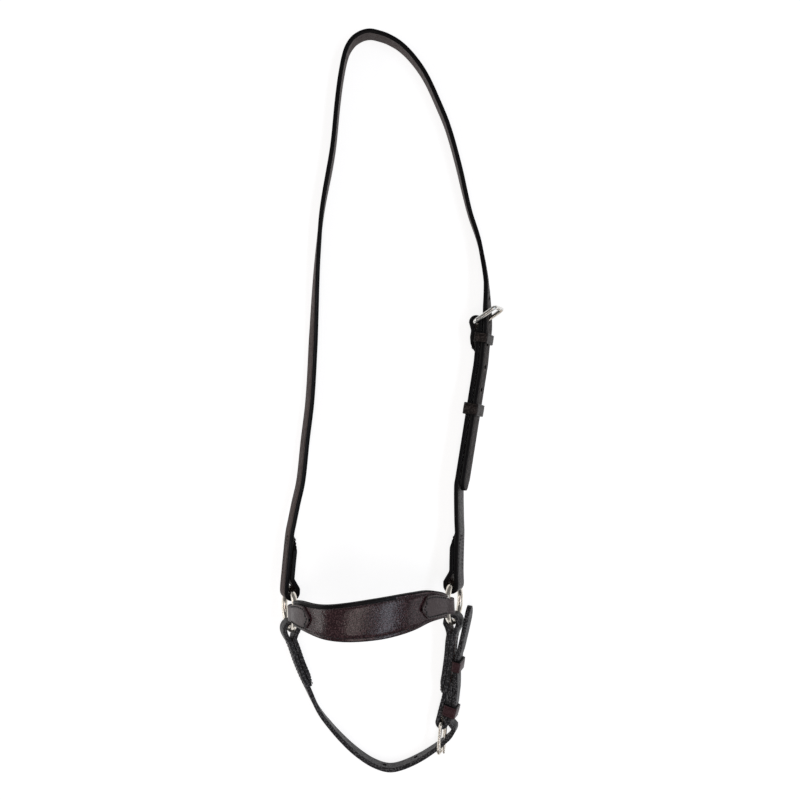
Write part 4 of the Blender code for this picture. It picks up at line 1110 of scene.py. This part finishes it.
def build_cheek_strap(main):
    """Cheek strap with both laps, its slot and its stitches."""
    tucked = FIXED_KEEPER_HEIGHT / 2 + KEEPER_LEAD
    above, below = FIXED_KEEPER_DROP - tucked, FIXED_KEEPER_DROP + tucked
    spacings = (
        (0, HEAD_FOLD), (above, TUCKED_LAYER), (below, TUCKED_LAYER),
        (CHEEK_BUCKLE_LAP, SKIVED_LAYER),
    )
    foot = lap_back(main, ring_spacings(CHEEK_RING_LAP, HEAD_RING_FOLD), 1)
    line = foot[::-1] + main + lap_back(main[::-1], spacings, -1)
    shape = band(line, STRAP_WIDTH, 0, (True, True), inf, (0, CREASE_DEPTH))
    thing = add_piece(
        "cheek_strap_leather", shape, (FLESH, GRAIN, PAINT), "headpiece",
        ["cheek_strap"])
    cut_slot(thing, plan(HEAD_BAR), HEAD_BAR_HEADING, STRAP_WIDTH, HEAD_FOLD)
    stitches = sew_ring_lap(main, STRAP_WIDTH, CHEEK_RING_LAP, HEAD_RING_FOLD, 1)
    inner = beside(main[::-1], spacings, -1, 0, below)
    sew_lap(stitches, inner, STRAP_WIDTH, below, CHEEK_BUCKLE_LAP - LAP_STITCH_END, -1)
    sew_lap(stitches, inner, STRAP_WIDTH, 0.0035, above + LAP_STITCH_END, -1)
    add_piece("cheek_strap_stitches", stitches, (DARK_THREAD,), "headpiece")


def build_chin_piece(main):
    """Short narrow strap that holds the chin buckle, its grain on the outer faces of its laps."""
    top = lap_back(main, ring_spacings(CHIN_PIECE_LAP, CHIN_RING_FOLD), -1)
    spacings = chin_lap_spacings()
    line = top[::-1] + main + lap_back(main[::-1], spacings, -1)
    swap = lengths_along(line)[len(top) + len(main)]
    shape = band(line, CHIN_WIDTH, 0, (True, True), swap, (CREASE_DEPTH, 0))
    thing = add_piece(
        "chin_buckle_leather", shape, (GRAIN, FLESH, CHIN_EDGE), "chin",
        ["chin_buckle_piece"])
    cut_slot(thing, plan(CHIN_BAR), CHIN_BAR_HEADING, CHIN_WIDTH, CHIN_FOLD)
    stitches = sew_ring_lap(main, CHIN_WIDTH, CHIN_PIECE_LAP, CHIN_RING_FOLD, -1)
    sew_lap(stitches, main[::-1], CHIN_WIDTH, 0.005, CHIN_BUCKLE_LAP - 0.004, 1)
    above = spacings[2][0]
    outer = beside(main[::-1], spacings, -1, 0, above)
    sew_lap(stitches, outer, CHIN_WIDTH, above, CHIN_BUCKLE_LAP - LAP_STITCH_END, -1)
    add_piece("chin_buckle_stitches", stitches, (WARM_THREAD,), "chin")


# Nosepiece


def nose_half(distance):
    """Half of the nosepiece's width at a distance along it."""
    return NOSE_WIDTH / 2 * smooth_at(NOSE_WIDTH_SHARES, distance / NOSE_LENGTH)


def crown_at(distance):
    """How much of the crown the nosepiece has: none under its end tabs."""
    inside = min(distance, NOSE_LENGTH - distance) - TAB_LENGTH
    share = min(1, max(0, inside / (0.5 * TAB_LENGTH)))
    return share * share * (3 - 2 * share)


def nose_sections(low, high, crowned, rows):
    """Cross-sections of a layer of the nosepiece between two heights."""
    start = RING_WIRE + SEAT + SEAT
    thick = high - low
    rounding = 0.44 * thick
    quarter = pi / 2
    sections = []
    for row in range(rows + 1):
        distance = start + (NOSE_LENGTH - 2 * start) * row / rows
        half = nose_half(distance)
        swell = NOSE_CROWN * crown_at(distance) if crowned else 0
        line = half - NOSE_STITCH_INSET
        margin = [
            (half - rounding, 0), (line + 2 * NOSE_GROOVE, 0),
            (line + NOSE_GROOVE / 2, -NOSE_GROOVE_LIP), (line, -NOSE_GROOVE_DEPTH),
            (line - NOSE_GROOVE, NOSE_CROWN_START),
        ]
        stations = [(-across, rise) for across, rise in margin]
        stations += [(line * share / 4, 1 - abs(share / 4) ** 3) for share in range(-3, 4)]
        points = []
        for across, rise in stations + margin[::-1]:
            points.append((across, high + rise * (swell if rise > 0 else crowned)))
        flat = half - rounding
        under = [(share * half, low) for share in (0.6, 0.2, -0.2, -0.6)] + [(-flat, low)]
        for side, turn, after in (
                (flat, arc(quarter, -pi, 8)[1:], under), (-flat, arc(-quarter, -pi, 8)[1:-1], [])):
            for cosine, sine in turn:
                points.append((side + rounding * cosine, (low + high) / 2 + thick / 2 * sine))
            points += after
        sections.append([nose_point(distance, out, across) for across, out in points])
    return sections


def nose_out(distance, across):
    """Direction out of the nosepiece."""
    return (nose_point(distance, 0.001, across) - nose_point(distance, 0, across)).normalized()


def build_nosepiece():
    """Outer leather, lining, and the stitches along both edges."""
    def kinds(strip, side):
        if side in NOSE_MARGIN_SIDES and strip < NOSE_MARGIN_END * NOSE_FACE_ROWS:
            return EDGE
        return NOSE_KINDS[side]

    top = SANDWICH / 2
    sections = nose_sections(top - NOSE_FACE, top, True, NOSE_FACE_ROWS)
    add_piece(
        "nosepiece_face", skin(bmesh.new(), sections, kinds), (NOSE, LINING, PAINT), "nosepiece",
        ["nosepiece_outer"])
    sections = nose_sections(-top, NOSE_LINING - top, False, NOSE_BACK_ROWS)
    shape = skin(bmesh.new(), sections, lambda strip, side: NOSE_KINDS[side])
    add_piece(
        "nosepiece_back", shape, (LINING, LINING, PAINT), "nosepiece",
        ["nosepiece_lining"])
    stitches = bmesh.new()
    start = RING_WIRE + 0.002
    for sign in (-1, 1):
        for height, facing in ((top - NOSE_STITCH_SUNK, 1), (-top, -1)):
            path = []
            for step in range(181):
                distance = start + (NOSE_LENGTH - 2 * start) * step / 180
                across = sign * (nose_half(distance) - NOSE_STITCH_INSET)
                point = nose_point(distance, height, across)
                path.append((point, facing * nose_out(distance, across)))
            sew(stitches, path, *NOSE_STITCH)
    add_piece(
        "nosepiece_stitches", stitches, (BLACK_THREAD,), "nosepiece")


def tab_rows():
    """Rows of a tab from its point round the ring to its back: distance, out, width share."""
    bore = RING_RADIUS - RING_WIRE - SEAT
    fold = RING_WIRE + TAB_PLAY + TAB_THICKNESS / 2
    leg = SANDWICH / 2 + SEAT + TAB_THICKNESS / 2
    neck = TAB_OUTLINE[0][1]
    chord = sqrt(bore**2 - (neck * TAB_WIDTH / 2) ** 2)
    turn = chord + RING_WIRE + TAB_PLAY - RING_RADIUS
    bend = TAB_BEND_SHARE * TAB_LENGTH
    least = TAB_ROWS[-1]
    rows = []
    for step in range(36, -1, -1):
        share = least + (1 - least) * step / 36
        rows.append((share * TAB_LENGTH, leg, share_at(TAB_OUTLINE, share)))
    rows.append((bend, (leg + fold) / 2, neck))
    for cosine, sine in arc(0, pi, FINE_FOLD_STEPS):
        rows.append((turn - fold * sine, fold * cosine, neck))
    rows.append((bend, -(leg + fold) / 2, neck))
    for share in reversed(TAB_ROWS):
        if share * TAB_LENGTH < TAB_BACK_LENGTH:
            rows.append((share * TAB_LENGTH, -leg, neck))
    rows.append((TAB_BACK_LENGTH, -leg, neck))
    return rows, leg


def build_tab(name, node, end):
    """Tab round a ring, with the stitches round its point and along its back."""
    rows, leg = tab_rows()

    def from_end(distance):
        return distance if end < 0 else NOSE_LENGTH - distance

    def stitch(distance, height, across):
        place = from_end(distance)
        out = nose_out(place, across)
        return nose_point(place, height, across), out if height > 0 else -out

    middles = [nose_point(from_end(distance), out, 0) for distance, out, _ in rows]
    profile = band_profile(TAB_WIDTH / 2, TAB_THICKNESS, TAB_CREASE_DEPTH, 0)
    sections = []
    for index, (distance, out, share) in enumerate(rows):
        across = nose_point(from_end(distance), out, 0.001) - middles[index]
        across.normalize()
        normal = -end * heading_at(middles, index).cross(across).normalized()
        sections.append([
            middles[index] + share * across_by * across + out_by * normal
            for across_by, out_by, _ in profile])
    facing = sections[0][5] - middles[0]
    front = FACE_OUT if facing.dot(nose_out(from_end(rows[0][0]), 0)) > 0 else FACE_BACK
    order = (TAB, LINING, PAINT) if front == FACE_OUT else (LINING, TAB, PAINT)

    def kinds(strip, side):
        if side in TAB_CREASE_SIDES:
            return EDGE
        return front if profile[side][2] == EDGE else profile[side][2]

    shape = skin(bmesh.new(), sections, kinds)
    add_piece(name, shape, order, "nosepiece", [node])
    stitches = bmesh.new()
    face = leg + TAB_THICKNESS / 2
    low, high = TAB_STITCH_SPAN
    outline = [(low + (high - low) * step / 59, -1) for step in range(60)]
    path = []
    for place, sign in outline + [(place, 1) for place, _ in reversed(outline)]:
        wide = share_at(TAB_OUTLINE, place) * TAB_WIDTH / 2 - TAB_STITCH_INSET
        distance = place * TAB_LENGTH - (TAB_STITCH_INSET if place > 0.9 else 0)
        path.append(stitch(distance, face, sign * max(wide, 0)))
    sew(stitches, path, *TAB_STITCH)
    low, high = TAB_BACK_SPAN
    wide = TAB_OUTLINE[0][1] * TAB_WIDTH / 2 - TAB_STITCH_INSET
    for across in (-wide, wide):
        shares = [low + (high - low) * step / 39 for step in range(40)]
        path = [stitch(TAB_BACK_LENGTH * share, -face, across) for share in shares]
        sew(stitches, path, *TAB_BACK_STITCH)
    add_piece(f"{name}_stitches", stitches, (BLACK_THREAD,), "nosepiece")


# Keepers


def build_keeper(name, node, body, grain, axes, inner, outer, width, walls, height):
    """Leather loop with rounded, painted edges and a crease near each."""
    tuck, play = walls
    middle = Vector(((inner + outer) / 2, 0, 0))
    bore = rounded_rectangle(outer - inner, width + 2 * play, KEEPER_TUCK / 2, 6)
    length = outer - inner + tuck + KEEPER_WALL
    shift = Vector(((KEEPER_WALL - tuck) / 2, 0, 0))
    rim = rounded_rectangle(length, width + 2 * (play + KEEPER_WALL), KEEPER_WALL, 6)
    rounding = 0.42 * KEEPER_WALL
    flat = height / 2 - rounding
    crease = height / 2 - CREASE_INSET
    upper = [(1, crease - 0.0002), (0.87, crease), (1, crease + 0.0002), (1, flat)]
    stations = [(share, -up) for share, up in reversed(upper)] + [(1.03, 0)] + upper
    for cosine, sine in arc(0, pi, 8)[1:-1]:
        stations.append((0.5 + 0.5 * cosine, flat + rounding * sine))
    stations += [(0, flat), (0, 0), (0, -flat)]
    for cosine, sine in arc(pi, pi, 8)[1:-1]:
        stations.append((0.5 + 0.5 * cosine, rounding * sine - flat))
    sections = []
    for near, far in zip(bore, rim):
        low, high = near + middle, far + middle + shift
        sections.append([
            axes @ (low.lerp(high, share) + Vector((0, 0, up))) for share, up in stations])
    shape = skin(bmesh.new(), sections, lambda strip, side: KEEPER_KINDS[side], EDGE, True)
    add_piece(f"{name}_leather", shape, (grain, FLESH, PAINT), body, [node])


def build_keepers(cheek, piece):
    """The four keepers, where the part's source puts them."""
    half = THICKNESS / 2
    far = POINT_LAYER + half
    for name, node, body, drop, walls, height in (
            ("head_keeper", "head_fixed_keeper", "headpiece", FIXED_KEEPER_DROP,
             (KEEPER_TUCK, SEAT), FIXED_KEEPER_HEIGHT),
            ("head_runner", "head_runner", "head_runner", RUNNER_DROP,
             (KEEPER_WALL, RUNNER_PLAY), RUNNER_HEIGHT)):
        axes = strap_axes(*along(cheek[::-1], drop), STRAP_WIDTH)
        build_keeper(
            name, node, body, DARK_KEEPER, axes, -half - walls[1], far + walls[1], STRAP_WIDTH,
            walls, height)
    total = lengths_along(piece)[-1]
    for name, rise, layers, height in (
            ("chin_lower_keeper", LOWER_KEEPER_RISE, LAYER, LOWER_KEEPER_HEIGHT),
            ("chin_upper_keeper", UPPER_KEEPER_RISE, 0, UPPER_KEEPER_HEIGHT)):
        axes = strap_axes(*along(piece, total - rise), CHIN_WIDTH)
        build_keeper(
            name, name, "chin", KEEPER, axes, TUCKED_LAYER - half - SEAT,
            TUCKED_LAYER + layers + half + SEAT, CHIN_WIDTH, (KEEPER_TUCK, SEAT), height)


# Metal


def build_ring(node, side):
    """Ring with a faint thickening at its weld."""
    centre = Vector((side * RING_SPREAD / 2, side * RING_SKEW / 2, RING_HEIGHT))
    turn = Matrix.Rotation(pi / 2 - side * STRAP_LEAN, 4, "Y")
    axes = Matrix.Translation(centre) @ turn
    points = [axes @ (RING_RADIUS * Vector(pair).to_3d()) for pair in arc(0, 2 * pi, 112)]
    radii = []
    for step in range(112):
        weld = exp(-((2 * pi * step / 112 - 2.2) / 0.05) ** 2)
        radii.append(RING_WIRE * (1 + 0.05 * weld))
    shape = tube(points[:-1], radii, True, 24, axes.col[2].xyz)
    add_piece(f"{node}_nickel", shape, (NICKEL,), node, [node])


def build_buckle(body, plate, axes, length, width, wire):
    """Buckle frame, its front bar a little thinner."""
    outline = rounded_rectangle(length, width + 2 * wire, BUCKLE_CORNER, 10)
    points, radii = [], []
    for place, after in zip(outline, outline[1:] + outline[:1]):
        pieces = max(1, round((after - place).length / 0.0012))
        for step in range(pieces):
            point = place.lerp(after, step / pieces)
            points.append(axes @ (point + Vector((length / 2, 0, 0))))
            radii.append(wire * (1.0 if point.x < 0.4 * length else 0.98))
    shape = tube(points, radii, True, 20, axes.col[2].xyz)
    add_piece(f"{body}_nickel", shape, (plate,), body, [f"{body}_frame"])


def build_tongue(node, axes, length, wire):
    """Tongue: a loop round the bar and a shank that thins towards its tip."""
    rest = wire + SEAT + TONGUE_WIRE
    loop = arc(radians(-30), radians(-240), 32)
    points = [rest * Vector((cosine, 0, sine)) for cosine, sine in loop]
    stops = [
        points[-1], Vector((length / 2, 0, rest)),
        Vector((length + TONGUE_OVERHANG / 2, 0, rest)),
        Vector((length + TONGUE_OVERHANG, 0, rest - SEAT)),
    ]
    for near, far in zip(stops, stops[1:]):
        pieces = max(2, round((far - near).length / 0.0007))
        points += [near.lerp(far, (step + 1) / pieces) for step in range(pieces)]
    distances = lengths_along(points)
    radii = []
    for distance in distances:
        left = (distances[-1] - distance) / (1.2 * TONGUE_WIRE)
        radii.append(TONGUE_WIRE * sqrt(max(0.09, 1 - max(0, 1 - left) ** 2)))
    shape = tube([axes @ point for point in points], radii, False, 18, axes.col[1].xyz)
    add_piece(f"{node}_nickel", shape, (NICKEL,), node, [node])


# Studio


def build_floor():
    """Pale floor that keeps a soft shadow, and is paler far away."""
    shape = bmesh.new()
    bmesh.ops.create_grid(shape, x_segments=1, y_segments=1, size=4)
    made, shader, place = surface("floor_white", (0.45, 0.45, 0.45), 0.9)
    floor = thing_of("floor", shape, (made,))
    floor.location.z = -0.0002
    tree = made.node_tree
    away = node_of(tree, "VectorMath", "Value", {0: place}, operation="LENGTH")
    seen = node_of(tree, "LightPath", "Is Camera Ray", {})
    for kind in ("Glossy", "Transmission"):
        ray = node_of(tree, "LightPath", f"Is {kind} Ray", {})
        seen = node_of(tree, "Math", 0, {0: seen, 1: ray}, operation="MAXIMUM")
    pale = spread(away, 0.5, 1.4, 0.80, 0.98)
    glow = node_of(tree, "Math", 0, {0: seen, 1: pale}, operation="MULTIPLY")
    fill(shader, {"Emission Color": (1, 1, 1), "Emission Strength": glow})


def add_softbox(name, place, size, power, colour):
    """Rectangular lamp that faces the middle of the noseband."""
    lamp = bpy.data.lights.new(name, "AREA")
    lamp.shape = "RECTANGLE"
    lamp.size, lamp.size_y = size
    lamp.energy = power
    lamp.color = colour
    thing = add_thing(name, lamp)
    thing.location = place
    towards = Vector((RING_LINE_X, RING_LINE_Y, 0.05)) - Vector(place)
    thing.rotation_euler = towards.to_track_quat("-Z", "Y").to_euler()


def build_studio():
    """Floor, world, soft lamps and the camera straight above."""
    build_floor()
    world = bpy.data.worlds.new("studio")
    world.use_nodes = True
    seen = node_of(world.node_tree, "LightPath", "Is Camera Ray", {})
    fill(world.node_tree.nodes["Background"], {
        "Color": (1, 1, 1), "Strength": spread(seen, 0, 1, 0.18, 1.0)})
    bpy.context.scene.world = world
    add_softbox("window", (0.79, -0.25, 1.35), (1.9, 0.28), 6.6, (0.80, 0.88, 1.0))
    add_softbox("ceiling", (-0.05, -0.30, 1.60), (0.40, 1.5), 4.8, (1.0, 0.87, 0.83))
    add_softbox("wall", (2.50, -0.60, 0.95), (1.6, 0.7), 4.0, (0.96, 0.97, 1.0))
    add_softbox("low_fill", (-1.45, -0.10, 0.52), (1.6, 0.4), 6.0, (1.0, 0.98, 0.96))
    camera = bpy.data.cameras.new("camera")
    camera.sensor_width = SENSOR_WIDTH
    camera.lens = SENSOR_WIDTH * FOCAL_PIXELS / IMAGE_PIXELS
    camera.clip_start = 0.01
    camera.clip_end = 50
    thing = add_thing("camera", camera)
    thing.location = CAMERA_PLACE
    bpy.context.scene.camera = thing
    bpy.context.scene.view_settings.view_transform = "Standard"


def build_all():
    """Every visible piece."""
    build_studio()
    cheek = cheek_line()
    head = headstrap_line(cheek)
    piece = chin_piece_line()
    chin = chin_strap_line(piece)
    head_bar = bar_axes(plan(HEAD_BAR), STRAP_WIDTH, HEAD_BUCKLE_TURN, 1)
    chin_bar = bar_axes(plan(CHIN_BAR), CHIN_WIDTH, CHIN_BUCKLE_TURN, -1)
    hole = tongue_crossing(head, STRAP_WIDTH, head_bar, HEAD_BUCKLE_LENGTH, HEAD_BUCKLE_WIRE)
    build_long_strap(
        "headstrap", "headpiece", (HEAD_GRAIN, FLESH, PAINT), head, STRAP_WIDTH, HEAD_RING_LAP,
        HEAD_RING_FOLD, -1, hole, range(-2, 5), HEAD_HOLE_PITCH)
    build_cheek_strap(cheek)
    hole = tongue_crossing(chin, CHIN_WIDTH, chin_bar, CHIN_BUCKLE_LENGTH, CHIN_BUCKLE_WIRE)
    build_long_strap(
        "chin_strap", "chin", (COOL, COOL, CHIN_EDGE), chin, CHIN_WIDTH, CHIN_RING_LAP,
        CHIN_RING_FOLD, 1, hole, range(-2, 2), CHIN_HOLE_PITCH)
    build_chin_piece(piece)
    build_nosepiece()
    build_tab("left_tab_leather", "left_nose_tab", -1)
    build_tab("right_tab_leather", "right_nose_tab", 1)
    build_keepers(cheek, piece)
    build_ring("left_ring", -1)
    build_ring("right_ring", 1)
    build_buckle(
        "head_buckle", PALE_NICKEL, head_bar, HEAD_BUCKLE_LENGTH, HEAD_BUCKLE_WIDTH,
        HEAD_BUCKLE_WIRE)
    build_buckle(
        "chin_buckle", NICKEL, chin_bar, CHIN_BUCKLE_LENGTH, CHIN_BUCKLE_WIDTH, CHIN_BUCKLE_WIRE)
    build_tongue("head_tongue", head_bar, HEAD_BUCKLE_LENGTH, HEAD_BUCKLE_WIRE)
    build_tongue("chin_tongue", chin_bar, CHIN_BUCKLE_LENGTH, CHIN_BUCKLE_WIRE)


build_all()
